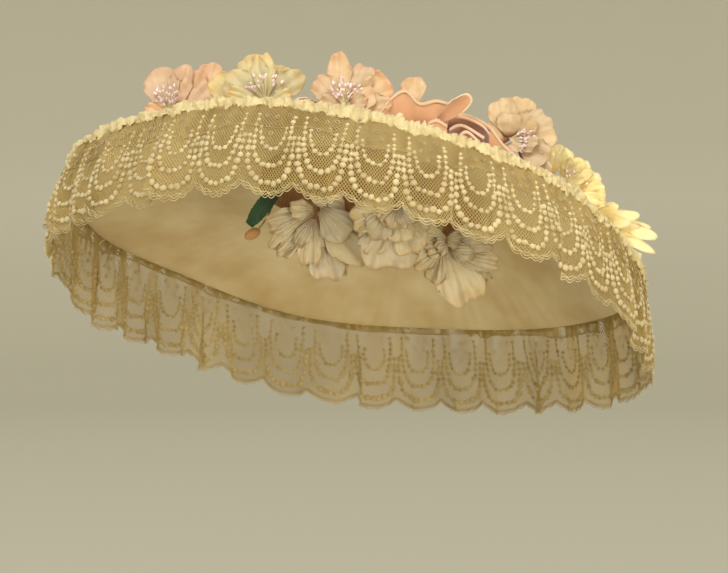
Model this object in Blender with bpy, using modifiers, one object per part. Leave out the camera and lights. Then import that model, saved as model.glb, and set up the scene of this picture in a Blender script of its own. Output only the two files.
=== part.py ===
"""A wide lace hat with a low crown, trimmed with silk flowers, pitched forward as it is worn.

Metres, +Z up. The wearer faces -Y. The origin is the centre of the head opening.
The crown, brim, bandeau and flowers are modelled level and hang on one tilted empty.
The lace flounce is modelled upright, because it hangs down from the tilted rim.
"""

import math
from collections import namedtuple

import bmesh
import bpy
from mathutils import Matrix, Quaternion, Vector
from mathutils.bvhtree import BVHTree

UP = Vector((0.0, 0.0, 1.0))

# How the hat sits
PITCH_DEG = 22.0

# Brim: an oval wire frame covered in gathered silk, wider on the wearer's left
RIM_HALF_WIDTH = 0.218
RIM_HALF_LENGTH = 0.188
RIM_SHIFT = 0.016
BRIM_WALL = 0.0022
BRIM_DROOP = 0.055
BRIM_CURVE = 1.7
BRIM_COLUMNS = 64
BRIM_ROWS = 4

# Head opening
HEAD_HALF_WIDTH = 0.080
HEAD_HALF_LENGTH = 0.093

# Crown: a low oval dome standing on the brim's inner margin.
# The profile runs from the top to the foot, in shares of the half width and of the height.
CROWN_HEIGHT = 0.045
CROWN_WALL = 0.0020
CROWN_MARGIN = 0.004
CROWN_COLUMNS = 36
CrownRow = namedtuple("CrownRow", "out up")
CROWN_PROFILE = [
    CrownRow(0.00, 1.00),
    CrownRow(0.42, 0.985),
    CrownRow(0.74, 0.90),
    CrownRow(0.92, 0.72),
    CrownRow(0.975, 0.45),
    CrownRow(1.00, 0.00),
]

# Bandeau: a crescent under the back of the brim, which lifts the hat off the head
BANDEAU_DEPTH = 0.062
BANDEAU_WALL = 0.0020
BANDEAU_MARGIN = 0.004
BANDEAU_MIDDLE_DEG = 207.0
BANDEAU_HALF_SPAN_DEG = 84.0
BANDEAU_COLUMNS = 28
BANDEAU_ROWS = 3
BANDEAU_END_SHARE = 0.12
BANDEAU_ROUNDNESS = 0.8

# Lace flounce: one gathered, scalloped strip sewn round the rim.
# It leaves the seam steeper than it hangs at the hem.
LACE_LENGTH = 0.068
LACE_WALL = 0.0012
LACE_RISE = 0.0012
LACE_ROWS = (0.0, 0.40, 0.76, 1.0)
SCALLOP_COUNT = 38
SCALLOP_DEPTH = 0.010
SCALLOP_COLUMNS = 4
SCALLOP_ROUNDNESS = 0.75
LEAN_AT_SEAM = 1.35
LEAN_AT_HEM = 0.65

# The flounce's ruffles, whose spacing drifts a little round the rim
RUFFLE_COUNT = 31
RUFFLE_DEPTH = 0.0075
RUFFLE_GROWTH = 0.8
Drift = namedtuple("Drift", "waves amount start")
RUFFLE_DRIFT = [Drift(5, 1.3, 0.0), Drift(3, 0.8, 1.0)]

# Ruche: the narrow crinkled heading on the brim's edge
RUCHE_RADIUS = 0.0026
RUCHE_POINTS = 96
RUCHE_INSET = 0.0045
RUCHE_CRIMP = 0.12
RUCHE_CRIMP_STEP = 2.4

# Clearances between pieces that are sewn together on the real hat
SEAM_GAP = 0.0004
FLOUNCE_GAP = 0.0005

# The rim at equal steps, by azimuth from the wearer's front towards the wearer's left.
# droop: share of BRIM_DROOP. lean: the flounce's outward lean in degrees. swell: share of RUFFLE_DEPTH.
RimSection = namedtuple("RimSection", "azimuth droop lean swell")
RIM_SECTIONS = [
    RimSection(0, 0.69, 4, 0.90),
    RimSection(30, 0.70, 3, 1.00),
    RimSection(60, 0.51, 0, 1.10),
    RimSection(90, 0.50, 0, 1.15),
    RimSection(120, 0.22, 14, 1.20),
    RimSection(150, 0.25, 26, 0.95),
    RimSection(180, 0.17, 34, 0.70),
    RimSection(210, 0.34, 36, 0.75),
    RimSection(240, 0.55, 22, 0.85),
    RimSection(270, 0.89, 2, 1.05),
    RimSection(300, 0.90, 4, 1.10),
    RimSection(330, 0.79, 4, 1.00),
]

# Flower forms. diameter is the whole head, stem lifts it off its seat, cup is the petals' slope in degrees.
# notch: how far the edge comes in between petals. inner: reach of a second layer, or 0 without one.
# fan: how much longer the petals on the low side are, below 0 where they are shorter.
Form = namedtuple("Form", "petals points diameter stem cup notch inner fan")
FLOWER_FORMS = {
    "blossom": Form(5, 4, 0.062, 0.017, 24, 0.34, 0.00, -0.18),
    "double": Form(5, 4, 0.066, 0.017, 22, 0.26, 0.60, -0.18),
    "rose": Form(4, 4, 0.072, 0.013, 30, 0.12, 0.66, -0.12),
    "daisy": Form(8, 3, 0.070, 0.014, 46, 0.50, 0.00, -0.10),
    "pansy": Form(5, 4, 0.080, 0.006, 12, 0.22, 0.56, 0.26),
}
CALYX_RADIUS = 0.0036
PETAL_WALL = 0.0014
HEART_SHARE = 0.17
MIDDLE_SHARE = 0.62
EDGE_ROUNDNESS = 1.5
PETAL_RIPPLE = 0.16
INNER_STEEPER_DEG = 22.0

# Where the flowers sit on the brim. reach: from the crown (0) to the rim (1).
# aim and lean: the azimuth that the head looks to, and how far it leans that way. turn: about its stem.
Bloom = namedtuple("Bloom", "name form azimuth reach aim lean turn size")
WREATH = [
    Bloom("blossom_cream_front", "double", 8, 0.50, 8, 50, 10, 0.92),
    Bloom("blossom_pink_front_left", "blossom", 34, 0.50, 34, 52, 40, 1.00),
    Bloom("blossom_yellow_left", "double", 60, 0.48, 60, 52, 5, 0.94),
    Bloom("blossom_peach_left", "blossom", 86, 0.48, 86, 52, 60, 1.02),
    Bloom("blossom_cream_left", "double", 112, 0.48, 112, 52, 25, 0.94),
    Bloom("blossom_pink_back_left", "blossom", 143, 0.55, 170, 56, 12, 1.04),
    Bloom("blossom_cream_back", "double", 168, 0.48, 186, 56, 30, 1.08),
    Bloom("blossom_peach_back", "blossom", 194, 0.46, 198, 54, 18, 1.08),
    Bloom("rose_velvet", "rose", 217, 0.46, 226, 54, 20, 1.00),
    Bloom("blossom_apple_right", "blossom", 239, 0.57, 224, 56, 50, 1.04),
    Bloom("blossom_yellow_right", "double", 260, 0.58, 250, 52, 15, 0.90),
    Bloom("daisy_yellow", "daisy", 275, 0.77, 286, 58, 0, 1.00),
    Bloom("blossom_pink_right", "blossom", 300, 0.52, 300, 52, 45, 1.00),
    Bloom("blossom_peach_front_right", "double", 332, 0.50, 332, 50, 20, 0.94),
]

# The flowers that hide the bandeau. drop: place down the bandeau (0 top, 1 lower edge).
# stand: extra stem, so that they overlap without touching. droop: below the seat's normal, in degrees.
Cache = namedtuple("Cache", "name azimuth drop stand droop turn size")
CACHE = [
    Cache("under_flower_left", 182, 0.70, 0.000, 16, 25, 1.10),
    Cache("under_flower_middle", 209, 0.76, 0.016, 10, 5, 1.02),
    Cache("under_flower_right", 238, 0.84, 0.000, 14, 48, 0.98),
]

# Leaf beside the left flower. Its blade stands out from the bandeau, folded along the middle.
LEAF_LENGTH = 0.040
LEAF_WIDTH = 0.015
LEAF_WALL = 0.0010
LEAF_AZIMUTH = 156.0
LEAF_DROP_SHARE = 0.70
LEAF_ROWS = 6
LEAF_FOLD = 0.35
LEAF_SAG = 0.16
LEAF_HEADING = (0.90, -0.10, -0.62)
LEAF_STEM_SHARE = 0.18
LEAF_TIP_SHARE = 0.10

# Colours as sRGB, with roughness
Finish = namedtuple("Finish", "colour roughness")
FINISHES = {
    "brim_silk": Finish("#CDB98A", 0.75),
    "crown_silk": Finish("#D3C092", 0.75),
    "bandeau_net": Finish("#BFA878", 0.85),
    "lace_cotton": Finish("#D8C48E", 0.85),
    "ruche_chiffon": Finish("#E3D39A", 0.80),
    "silk_pink": Finish("#E9B9A0", 0.70),
    "silk_cream": Finish("#E6DAB0", 0.70),
    "silk_peach": Finish("#EDC3A0", 0.70),
    "silk_yellow": Finish("#E8D896", 0.70),
    "silk_apple": Finish("#E8CDA4", 0.70),
    "velvet_rose": Finish("#E3A37F", 0.80),
    "silk_antique": Finish("#D8C09A", 0.75),
    "leaf_green": Finish("#2F5A34", 0.60),
}
ROUGH_AND_BARE = 0.0


def clear_scene():
    """Remove what the file opened with."""
    for obj in list(bpy.data.objects):
        bpy.data.objects.remove(obj)


def new_collection(name):
    collection = bpy.data.collections.new(name)
    bpy.context.scene.collection.children.link(collection)
    return collection


def linear(hex_colour):
    """An sRGB hex colour as linear RGBA."""
    channels = [int(hex_colour[i : i + 2], 16) / 255 for i in (1, 3, 5)]
    return [c / 12.92 if c <= 0.04045 else ((c + 0.055) / 1.055) ** 2.4 for c in channels] + [1.0]


def material(name):
    """A plain Principled BSDF with the finish's colour and roughness."""
    if name in bpy.data.materials:
        return bpy.data.materials[name]
    finish = FINISHES[name]
    made = bpy.data.materials.new(name)
    made.use_nodes = True
    shader = made.node_tree.nodes["Principled BSDF"]
    shader.inputs["Base Color"].default_value = linear(finish.colour)
    shader.inputs["Roughness"].default_value = finish.roughness
    shader.inputs["Metallic"].default_value = ROUGH_AND_BARE
    made.diffuse_color = linear(finish.colour)
    return made


def add_object(name, mesh, finish, collection, parent=None):
    """Link a mesh as a named piece, shaded smooth."""
    obj = bpy.data.objects.new(name, mesh)
    collection.objects.link(obj)
    obj.parent = parent
    mesh.materials.append(material(finish))
    mesh.shade_smooth()
    return obj


def solidify(obj, wall, offset):
    """Give an open surface its wall: offset 0 centres it and -1 lays it inside."""
    modifier = obj.modifiers.new("wall", "SOLIDIFY")
    modifier.thickness = wall
    modifier.offset = offset
    modifier.use_even_offset = False


def rim_value(azimuth, column):
    """A column of RIM_SECTIONS at any azimuth, on a closed smooth curve through the rows."""
    count = len(RIM_SECTIONS)
    place = (azimuth % 360) * count / 360
    row = int(place)
    t = place - row
    before, at, after, beyond = (getattr(RIM_SECTIONS[(row + k) % count], column) for k in (-1, 0, 1, 2))
    slope_at = (after - before) / 2
    slope_after = (beyond - at) / 2
    return (
        (2 * t**3 - 3 * t**2 + 1) * at
        + (t**3 - 2 * t**2 + t) * slope_at
        + (3 * t**2 - 2 * t**3) * after
        + (t**3 - t**2) * slope_after
    )


def around(azimuth):
    """The level direction of an azimuth: 0 is the wearer's front, 90 the wearer's left."""
    angle = math.radians(azimuth)
    return Vector((math.sin(angle), -math.cos(angle), 0.0))


def oval(azimuth, half_width, half_length):
    """A point on a level oval."""
    direction = around(azimuth)
    return Vector((direction.x * half_width, direction.y * half_length, 0.0))


def brim_point(azimuth, reach):
    """The brim's middle surface, level: reach 0 is the head opening and 1 the rim."""
    inner = oval(azimuth, HEAD_HALF_WIDTH, HEAD_HALF_LENGTH)
    outer = oval(azimuth, RIM_HALF_WIDTH, RIM_HALF_LENGTH)
    outer.x += RIM_SHIFT
    point = inner.lerp(outer, reach)
    point.z = -BRIM_DROOP * rim_value(azimuth, "droop") * max(reach, 0.0) ** BRIM_CURVE
    return point


def worn(point):
    """A level point moved to where it is on the pitched hat."""
    return Matrix.Rotation(math.radians(PITCH_DEG), 3, "X") @ point


def grid_mesh(name, rows, closed):
    """A mesh of quads through equal rows of points. closed joins each row's end to its start."""
    made = bmesh.new()
    grid = [[made.verts.new(point) for point in row] for row in rows]
    columns = len(rows[0])
    for upper, lower in zip(grid, grid[1:]):
        for i in range(columns if closed else columns - 1):
            j = (i + 1) % columns
            made.faces.new((upper[i], lower[i], lower[j], upper[j]))
    mesh = bpy.data.meshes.new(name)
    made.to_mesh(mesh)
    made.free()
    return mesh


def capped_loft(name, rings):
    """A closed solid through rings of points, with a fan on the first and last ring."""
    made = bmesh.new()
    loops = [[made.verts.new(point) for point in ring] for ring in rings]
    count = len(rings[0])
    for lower, upper in zip(loops, loops[1:]):
        for i in range(count):
            j = (i + 1) % count
            made.faces.new((lower[i], lower[j], upper[j], upper[i]))
    for loop, backwards in ((loops[0], True), (loops[-1], False)):
        centre = made.verts.new(sum((v.co for v in loop), Vector()) / count)
        for i in range(count):
            j = (i + 1) % count
            ends = (loop[j], loop[i]) if backwards else (loop[i], loop[j])
            made.faces.new((*ends, centre))
    mesh = bpy.data.meshes.new(name)
    made.to_mesh(mesh)
    made.free()
    return mesh


def build_brim(collection, tilt):
    """The drooping oval brim, a wall round an open head hole."""
    rows = []
    for row in range(BRIM_ROWS + 1):
        reach = row / BRIM_ROWS
        rows.append([brim_point(360 * i / BRIM_COLUMNS, reach) for i in range(BRIM_COLUMNS)])
    brim = add_object("brim", grid_mesh("brim", rows, True), "brim_silk", collection, tilt)
    solidify(brim, BRIM_WALL, 0.0)
    return brim


def build_crown(collection, tilt):
    """A low dome turned from its profile, then made oval."""
    outline = bpy.data.meshes.new("crown_profile")
    points = [(row.out, 0.0, row.up) for row in CROWN_PROFILE]
    outline.from_pydata(points, [(i, i + 1) for i in range(len(points) - 1)], [])
    turned = bpy.data.objects.new("crown_profile", outline)
    collection.objects.link(turned)
    screw = turned.modifiers.new("turn", "SCREW")
    screw.steps = CROWN_COLUMNS
    screw.render_steps = CROWN_COLUMNS
    screw.use_merge_vertices = True
    screw.merge_threshold = 0.0001
    mesh = bpy.data.meshes.new_from_object(turned.evaluated_get(bpy.context.evaluated_depsgraph_get()))
    bpy.data.objects.remove(turned)
    mesh.name = "crown"
    foot = BRIM_WALL / 2 + SEAM_GAP
    half_width = HEAD_HALF_WIDTH + CROWN_MARGIN
    half_length = HEAD_HALF_LENGTH + CROWN_MARGIN
    size = Matrix.Diagonal((half_width, half_length, CROWN_HEIGHT, 1.0))
    mesh.transform(Matrix.Translation((0.0, 0.0, foot)) @ size)
    crown = add_object("crown", mesh, "crown_silk", collection, tilt)
    solidify(crown, CROWN_WALL, -1.0)
    return crown


def bandeau_point(azimuth, drop):
    """The bandeau's middle surface, level: drop 0 is sewn to the brim and 1 is the free edge."""
    point = oval(azimuth, HEAD_HALF_WIDTH + BANDEAU_MARGIN, HEAD_HALF_LENGTH + BANDEAU_MARGIN)
    off = (azimuth - BANDEAU_MIDDLE_DEG) / BANDEAU_HALF_SPAN_DEG
    crescent = math.cos(off * math.pi / 2) ** BANDEAU_ROUNDNESS
    depth = BANDEAU_DEPTH * (BANDEAU_END_SHARE + (1 - BANDEAU_END_SHARE) * crescent)
    fallen = BRIM_DROOP * (2 * BANDEAU_MARGIN / (RIM_HALF_LENGTH - HEAD_HALF_LENGTH)) ** BRIM_CURVE
    point.z = -BRIM_WALL / 2 - SEAM_GAP - fallen - depth * drop
    return point


def build_bandeau(collection, tilt):
    """The crescent wall under the back of the brim."""
    rows = []
    for drop in range(BANDEAU_ROWS + 1):
        row = []
        for i in range(BANDEAU_COLUMNS + 1):
            off = (2 * i / BANDEAU_COLUMNS - 1) * BANDEAU_HALF_SPAN_DEG
            row.append(bandeau_point(BANDEAU_MIDDLE_DEG + off, drop / BANDEAU_ROWS))
        rows.append(row)
    bandeau = add_object("back_bandeau", grid_mesh("back_bandeau", rows, False), "bandeau_net", collection, tilt)
    solidify(bandeau, BANDEAU_WALL, 0.0)
    return bandeau


def outward(azimuth):
    """The level direction in which the flounce stands off the rim."""
    ahead = worn(brim_point(azimuth + 1, 1.0))
    behind = worn(brim_point(azimuth - 1, 1.0))
    along = ahead - behind
    return Vector((along.y, -along.x, 0.0)).normalized()


def rim_overhang(azimuth, out):
    """How far the corner of the brim's wall stands out past its middle surface."""
    rim = worn(brim_point(azimuth, 1.0))
    inside = worn(brim_point(azimuth, 1.0 - 1.0 / BRIM_ROWS))
    beside = worn(brim_point(azimuth + 1, 1.0))
    normal = (rim - inside).cross(beside - rim).normalized()
    return BRIM_WALL / 2 * abs(normal.dot(out))


def ruffle(turn):
    """The flounce's wave, 0 in a trough and 1 on a crest."""
    phase = 2 * math.pi * RUFFLE_COUNT * turn
    for drift in RUFFLE_DRIFT:
        phase += drift.amount * math.sin(2 * math.pi * drift.waves * turn + drift.start)
    return 0.5 + 0.5 * math.sin(phase)


def lace_point(turn, share):
    """The flounce's middle surface: turn 0 to 1 round the rim, share 0 at the seam and 1 at the hem."""
    azimuth = 360 * turn
    out = outward(azimuth)
    stand = rim_overhang(azimuth, out) + FLOUNCE_GAP + LACE_WALL / 2
    start = worn(brim_point(azimuth, 1.0)) + out * stand + UP * LACE_RISE
    scallop = abs(math.sin(math.pi * SCALLOP_COUNT * turn)) ** SCALLOP_ROUNDNESS
    length = (LACE_LENGTH - SCALLOP_DEPTH * (1 - scallop)) * share
    steepness = LEAN_AT_SEAM + (LEAN_AT_HEM - LEAN_AT_SEAM) * share
    lean = math.radians(rim_value(azimuth, "lean")) * steepness
    wave = RUFFLE_DEPTH * rim_value(azimuth, "swell") * share**RUFFLE_GROWTH * ruffle(turn)
    return start + out * (length * math.sin(lean) + wave) - UP * (length * math.cos(lean))


def build_flounce(collection):
    """The gathered lace strip that hangs from the rim, scalloped along its hem."""
    columns = SCALLOP_COUNT * SCALLOP_COLUMNS
    rows = [[lace_point(i / columns, share) for i in range(columns)] for share in LACE_ROWS]
    flounce = add_object("lace_flounce", grid_mesh("lace_flounce", rows, True), "lace_cotton", collection)
    solidify(flounce, LACE_WALL, 0.0)


def build_ruche(collection, tilt):
    """The crinkled heading: a thin closed roll lying on the brim just inside the rim."""
    curve = bpy.data.curves.new("edge_ruche", "CURVE")
    curve.dimensions = "3D"
    curve.bevel_depth = RUCHE_RADIUS
    curve.bevel_resolution = 1
    spline = curve.splines.new("POLY")
    spline.points.add(RUCHE_POINTS - 1)
    spline.use_cyclic_u = True
    reach = 1 - RUCHE_INSET / (RIM_HALF_LENGTH - HEAD_HALF_LENGTH)
    for i, point in enumerate(spline.points):
        seat = brim_point(360 * i / RUCHE_POINTS, reach)
        seat.z += BRIM_WALL + SEAM_GAP + RUCHE_RADIUS
        point.co = (*seat, 1.0)
        point.radius = 1 - RUCHE_CRIMP * (0.5 + 0.5 * math.sin(i * RUCHE_CRIMP_STEP))
    ruche = bpy.data.objects.new("edge_ruche", curve)
    collection.objects.link(ruche)
    ruche.parent = tilt
    curve.materials.append(material("ruche_chiffon"))


def head_rings(form, radius, low_side):
    """Rings of one flower head about +Z, from under its heart, out over the petals and back in."""
    count = form.petals * form.points
    angles = [2 * math.pi * i / count for i in range(count)]
    heart = radius * HEART_SHARE

    def circle(size, height):
        return [Vector((size * math.cos(a), size * math.sin(a), height)) for a in angles]

    def petals(reach, slope_deg, lift, half_petal):
        points = []
        for a in angles:
            between = abs(math.cos(form.petals * (a + half_petal) / 2)) ** EDGE_ROUNDNESS
            along = radius * reach * (1 - form.notch * between) * (1 + form.fan * math.cos(a - low_side))
            slope = math.radians(slope_deg)
            rise = along * math.sin(slope) * (1 + PETAL_RIPPLE * math.sin(2 * a + 1))
            flat = along * math.cos(slope)
            points.append(Vector((flat * math.cos(a), flat * math.sin(a), lift + rise)))
        return points

    rings = [
        circle(heart, 0.0),
        petals(1.0, form.cup, 0.0, 0.0),
        petals(1.0, form.cup, PETAL_WALL, 0.0),
        petals(MIDDLE_SHARE, form.cup * (1 + MIDDLE_SHARE) / 2, PETAL_WALL, 0.0),
    ]
    if form.inner:
        slope = form.cup + INNER_STEEPER_DEG
        half_petal = math.pi / form.petals
        rings += [
            circle(heart * 1.5, PETAL_WALL + heart * 0.65),
            petals(form.inner, slope, 2 * PETAL_WALL, half_petal),
            petals(form.inner * 0.94, slope, 3 * PETAL_WALL, half_petal),
            circle(heart, PETAL_WALL + heart * 1.2),
        ]
    else:
        rings += [
            circle(heart * 1.1, PETAL_WALL + heart * 0.5),
            circle(heart * 0.6, PETAL_WALL + heart * 1.4),
        ]
    return rings


def flower(name, form, size, stand, seat, normal, axis, turn, finish, collection, tilt):
    """One flower: its calyx stands square on the seat and its head looks along axis."""
    upright = UP.rotation_difference(normal)
    leaning = UP.rotation_difference(axis)
    spin = Quaternion(UP, math.radians(turn))
    neck = seat + normal * (form.stem + stand)
    low_side = math.atan2(axis.y, axis.x) - math.radians(turn)
    count = form.petals * form.points
    calyx = []
    for i in range(count):
        angle = 2 * math.pi * i / count
        calyx.append(Vector((CALYX_RADIUS * math.cos(angle), CALYX_RADIUS * math.sin(angle), 0.0)))
    rings = [[seat + upright @ (spin @ p) for p in calyx]]
    for ring in head_rings(form, form.diameter * size / 2, low_side):
        rings.append([neck + leaning @ (spin @ p) for p in ring])
    return add_object(name, capped_loft(name, rings), finish, collection, tilt)


def surface_of(obj):
    """The finished piece's faces, level, for seating other pieces on them."""
    bpy.context.view_layer.update()
    graph = bpy.context.evaluated_depsgraph_get()
    return BVHTree.FromObject(obj, graph)


def finish_of(name):
    """The silk that a flower's name calls for."""
    for word in ("pink", "cream", "peach", "yellow", "apple"):
        if word in name:
            return "silk_" + word
    return "velvet_rose"


def build_wreath(brim, collection, tilt):
    """The flowers that ring the crown, each seated on the brim's top."""
    top = surface_of(brim)
    for bloom in WREATH:
        above = brim_point(bloom.azimuth, bloom.reach) + UP * BRIM_DROOP
        hit, normal, _, _ = top.ray_cast(above, -UP)
        side = around(bloom.aim).cross(normal).normalized()
        axis = Quaternion(side, -math.radians(bloom.lean)) @ normal
        flower(
            bloom.name, FLOWER_FORMS[bloom.form], bloom.size, 0.0, hit + normal * SEAM_GAP, normal, axis,
            bloom.turn, finish_of(bloom.name), collection, tilt,
        )


def bandeau_seat(wall, azimuth, drop):
    """A point on the bandeau's outer face, with the face's normal."""
    away = around(azimuth)
    outside = bandeau_point(azimuth, drop) + away * BANDEAU_DEPTH
    hit, normal, _, _ = wall.ray_cast(outside, -away)
    return hit, normal


def build_cache(wall, collection, tilt):
    """The three large flowers that hide the bandeau."""
    for row in CACHE:
        hit, normal = bandeau_seat(wall, row.azimuth, row.drop)
        side = normal.cross(UP).normalized()
        axis = Quaternion(side, -math.radians(row.droop)) @ normal
        flower(
            row.name, FLOWER_FORMS["pansy"], row.size, row.stand, hit + normal * SEAM_GAP, normal, axis,
            row.turn, "silk_antique", collection, tilt,
        )


def build_leaf(wall, collection, tilt):
    """A pointed leaf that stands out from the bandeau beside the left flower."""
    hit, normal = bandeau_seat(wall, LEAF_AZIMUTH, LEAF_DROP_SHARE)
    root = hit + normal * (SEAM_GAP + LEAF_WALL)
    along = (normal * 0.5 + Vector(LEAF_HEADING)).normalized()
    across = along.cross(UP).normalized()
    face = across.cross(along).normalized()
    rows = []
    for k in range(LEAF_ROWS + 1):
        t = k / LEAF_ROWS
        width = LEAF_STEM_SHARE + (1 - LEAF_STEM_SHARE) * math.sin(math.pi * min(t, 1.0)) ** 0.7
        if k == LEAF_ROWS:
            width = LEAF_TIP_SHARE
        half = LEAF_WIDTH / 2 * width
        spine = root + along * LEAF_LENGTH * t - UP * (LEAF_LENGTH * LEAF_SAG * t * t)
        fold = face * (half * LEAF_FOLD)
        rows.append([spine - across * half + fold, spine, spine + across * half + fold])
    leaf = add_object("leaf_green", grid_mesh("leaf_green", rows, False), "leaf_green", collection, tilt)
    solidify(leaf, LEAF_WALL, 0.0)


def main():
    clear_scene()
    hat = new_collection("lace_hat")
    tilt = bpy.data.objects.new("worn_tilt", None)
    hat.objects.link(tilt)
    tilt.rotation_euler = (math.radians(PITCH_DEG), 0.0, 0.0)
    brim = build_brim(hat, tilt)
    build_crown(hat, tilt)
    bandeau = build_bandeau(hat, tilt)
    build_flounce(hat)
    build_ruche(hat, tilt)
    build_wreath(brim, hat, tilt)
    wall = surface_of(bandeau)
    build_cache(wall, hat, tilt)
    build_leaf(wall, hat, tilt)


main()
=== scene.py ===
# %% [markdown]
# # A wide lace hat with silk flowers
# The real thing is an oval frame of wire covered in silk, with a deep flounce of net lace sewn
# round its rim. Silk flowers ring a low crown, and three large ones hide the band that lifts
# the hat at the back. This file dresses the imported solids: it loads them as a fixed frame and
# puts a finished piece where each plain solid stands. All sizes are metres in that frame.

import math
from collections import namedtuple

import bmesh
import bpy
import numpy as np
from mathutils import Matrix, Quaternion, Vector, noise


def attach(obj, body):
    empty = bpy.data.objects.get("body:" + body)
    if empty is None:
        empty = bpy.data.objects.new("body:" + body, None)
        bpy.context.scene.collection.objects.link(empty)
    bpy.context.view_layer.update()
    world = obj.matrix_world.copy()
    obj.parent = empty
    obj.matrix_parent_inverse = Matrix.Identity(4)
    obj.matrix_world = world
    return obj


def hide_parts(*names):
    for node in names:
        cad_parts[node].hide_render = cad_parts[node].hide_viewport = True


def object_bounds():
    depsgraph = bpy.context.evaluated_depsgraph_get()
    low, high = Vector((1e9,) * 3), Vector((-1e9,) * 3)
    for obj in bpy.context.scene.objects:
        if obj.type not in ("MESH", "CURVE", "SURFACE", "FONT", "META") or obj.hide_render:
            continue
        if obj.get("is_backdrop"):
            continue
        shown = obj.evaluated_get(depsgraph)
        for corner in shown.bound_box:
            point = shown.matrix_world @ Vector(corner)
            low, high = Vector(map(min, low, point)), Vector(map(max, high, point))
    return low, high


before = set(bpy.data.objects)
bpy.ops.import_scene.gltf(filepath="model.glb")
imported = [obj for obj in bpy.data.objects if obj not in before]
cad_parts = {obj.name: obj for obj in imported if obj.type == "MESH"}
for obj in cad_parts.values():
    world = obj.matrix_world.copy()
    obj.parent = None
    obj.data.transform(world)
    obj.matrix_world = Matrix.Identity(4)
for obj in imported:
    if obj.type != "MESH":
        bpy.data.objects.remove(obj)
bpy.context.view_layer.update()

# %% [markdown]
# ## Small helpers
# Colours are written as the hex values that a paint chart gives, and Blender's shaders want
# them linear. One function adds a node with its settings and links, for materials and for
# Geometry Nodes alike. Every piece is a mesh at the origin that rides on the one body.

# %% Helpers
def linear(hex_colour):
    """An sRGB hex colour as linear RGBA."""
    channels = [int(hex_colour[i : i + 2], 16) / 255 for i in (1, 3, 5)]
    return [c / 12.92 if c <= 0.04045 else ((c + 0.055) / 1.055) ** 2.4 for c in channels] + [1.0]


def add_node(tree, kind, inputs=(), **settings):
    """Add a node, set its properties, then fill or link its inputs by name or number."""
    node = tree.nodes.new(kind)
    for name, value in settings.items():
        setattr(node, name, value)
    for key, value in dict(inputs).items():
        if isinstance(value, bpy.types.NodeSocket):
            tree.links.new(value, node.inputs[key])
        else:
            node.inputs[key].default_value = value
    return node


def calc(tree, operation, *values):
    """The result of a math node."""
    return add_node(tree, "ShaderNodeMath", dict(enumerate(values)), operation=operation).outputs[0]


def mixed(tree, share, first, second):
    """A share of the second colour over the first."""
    return add_node(tree, "ShaderNodeMix", {0: share, 6: first, 7: second}, data_type="RGBA").outputs[2]


def ranged(tree, value, low, high, top=1.0):
    """A value from low to high, as 0 to top."""
    given = {"Value": value, "From Min": low, "From Max": high, "To Max": top}
    return add_node(tree, "ShaderNodeMapRange", given).outputs[0]


def link_object(name, data):
    """A new object in the scene."""
    made = bpy.data.objects.new(name, data)
    bpy.context.scene.collection.objects.link(made)
    return made


def aim_at(thing, target):
    """Turn a camera or a lamp towards a place."""
    thing.rotation_euler = (target - thing.location).to_track_quat("-Z", "Y").to_euler()


def mesh_from(name, points, faces=(), edges=()):
    """A mesh from plain arrays."""
    mesh = bpy.data.meshes.new(name)
    mesh.from_pydata(np.asarray(points).reshape(-1, 3).tolist(), list(edges), list(faces))
    return mesh


def add_piece(name, mesh, finish, slot, *nodes):
    """Link a mesh as a finished piece of the hat, which may stand for CAD nodes."""
    piece = link_object(name, mesh)
    if finish is not None:
        mesh.materials.clear()
        mesh.materials.append(finish)
    mesh.shade_smooth()
    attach(piece, "root")
    if nodes:
        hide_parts(*nodes)
    return piece


def solidify(piece, wall, offset=0.0):
    """Give an open cloth its thickness: offset -1 puts it all behind the surface."""
    modifier = piece.modifiers.new("wall", "SOLIDIFY")
    modifier.thickness = wall
    modifier.offset = offset
    modifier.use_even_offset = False


def grid_faces(rows, columns, closed=False, start=0):
    """Quads through rows of points. closed joins each row's end to its start."""
    faces = []
    for r in range(rows - 1):
        for c in range(columns if closed else columns - 1):
            d = (c + 1) % columns
            a = start + r * columns
            b = a + columns
            faces.append((a + c, b + c, b + d, a + d))
    return faces


print("helpers ready")

# %% [markdown]
# ## Camera
# The photograph was taken from behind and a little to the wearer's right, level with the rim.
# A long lens keeps the far side of the brim nearly as large as the near side. The camera is
# turned down a little rather than shifted, so that other views need no correction.

# %% Camera
VIEW_AZIMUTH = 203.0
CAMERA_DISTANCE = 2.2
LENS_MM = 146.9
SENSOR_MM = 36.0
AIM_LEFT = 0.0104
AIM_DOWN = 0.0685


def around(azimuth):
    """The level direction of an azimuth: 0 is the wearer's front, 90 the wearer's left."""
    angle = np.radians(azimuth)
    return np.stack([np.sin(angle), -np.cos(angle), np.zeros_like(angle)], axis=-1)


UP = Vector((0, 0, 1))
toward_camera = Vector(around(np.float64(VIEW_AZIMUTH)))
picture_right = (-toward_camera).cross(UP)
lens = bpy.data.cameras.new("camera")
lens.lens = LENS_MM
lens.sensor_width = SENSOR_MM
lens.clip_start = 0.1
lens.clip_end = 60.0
camera = link_object("camera", lens)
camera.location = toward_camera * CAMERA_DISTANCE
aim_at(camera, -picture_right * AIM_LEFT - UP * AIM_DOWN)
bpy.context.scene.camera = camera
print("camera at", [round(v, 3) for v in camera.location])

# %% [markdown]
# ## Stage
# A studio hangs a seamless sheet of paper behind and under the object. Here it is a wide round
# floor that sweeps up into a wall on every side, so each view has the same plain ground.

# %% Stage
FLOOR_HEIGHT = -0.46
TONE_RISE = 0.45
SWEEP = [(0.0, 0.0), (4.2, 0.0), (4.7, 0.06), (5.1, 0.25), (5.4, 0.6), (5.5, 1.1), (5.5, 1.9)]
SWEEP_COLUMNS = 96
BACKDROP = "#BDB79F"
FLOOR_TONE = "#ABA58C"


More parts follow.
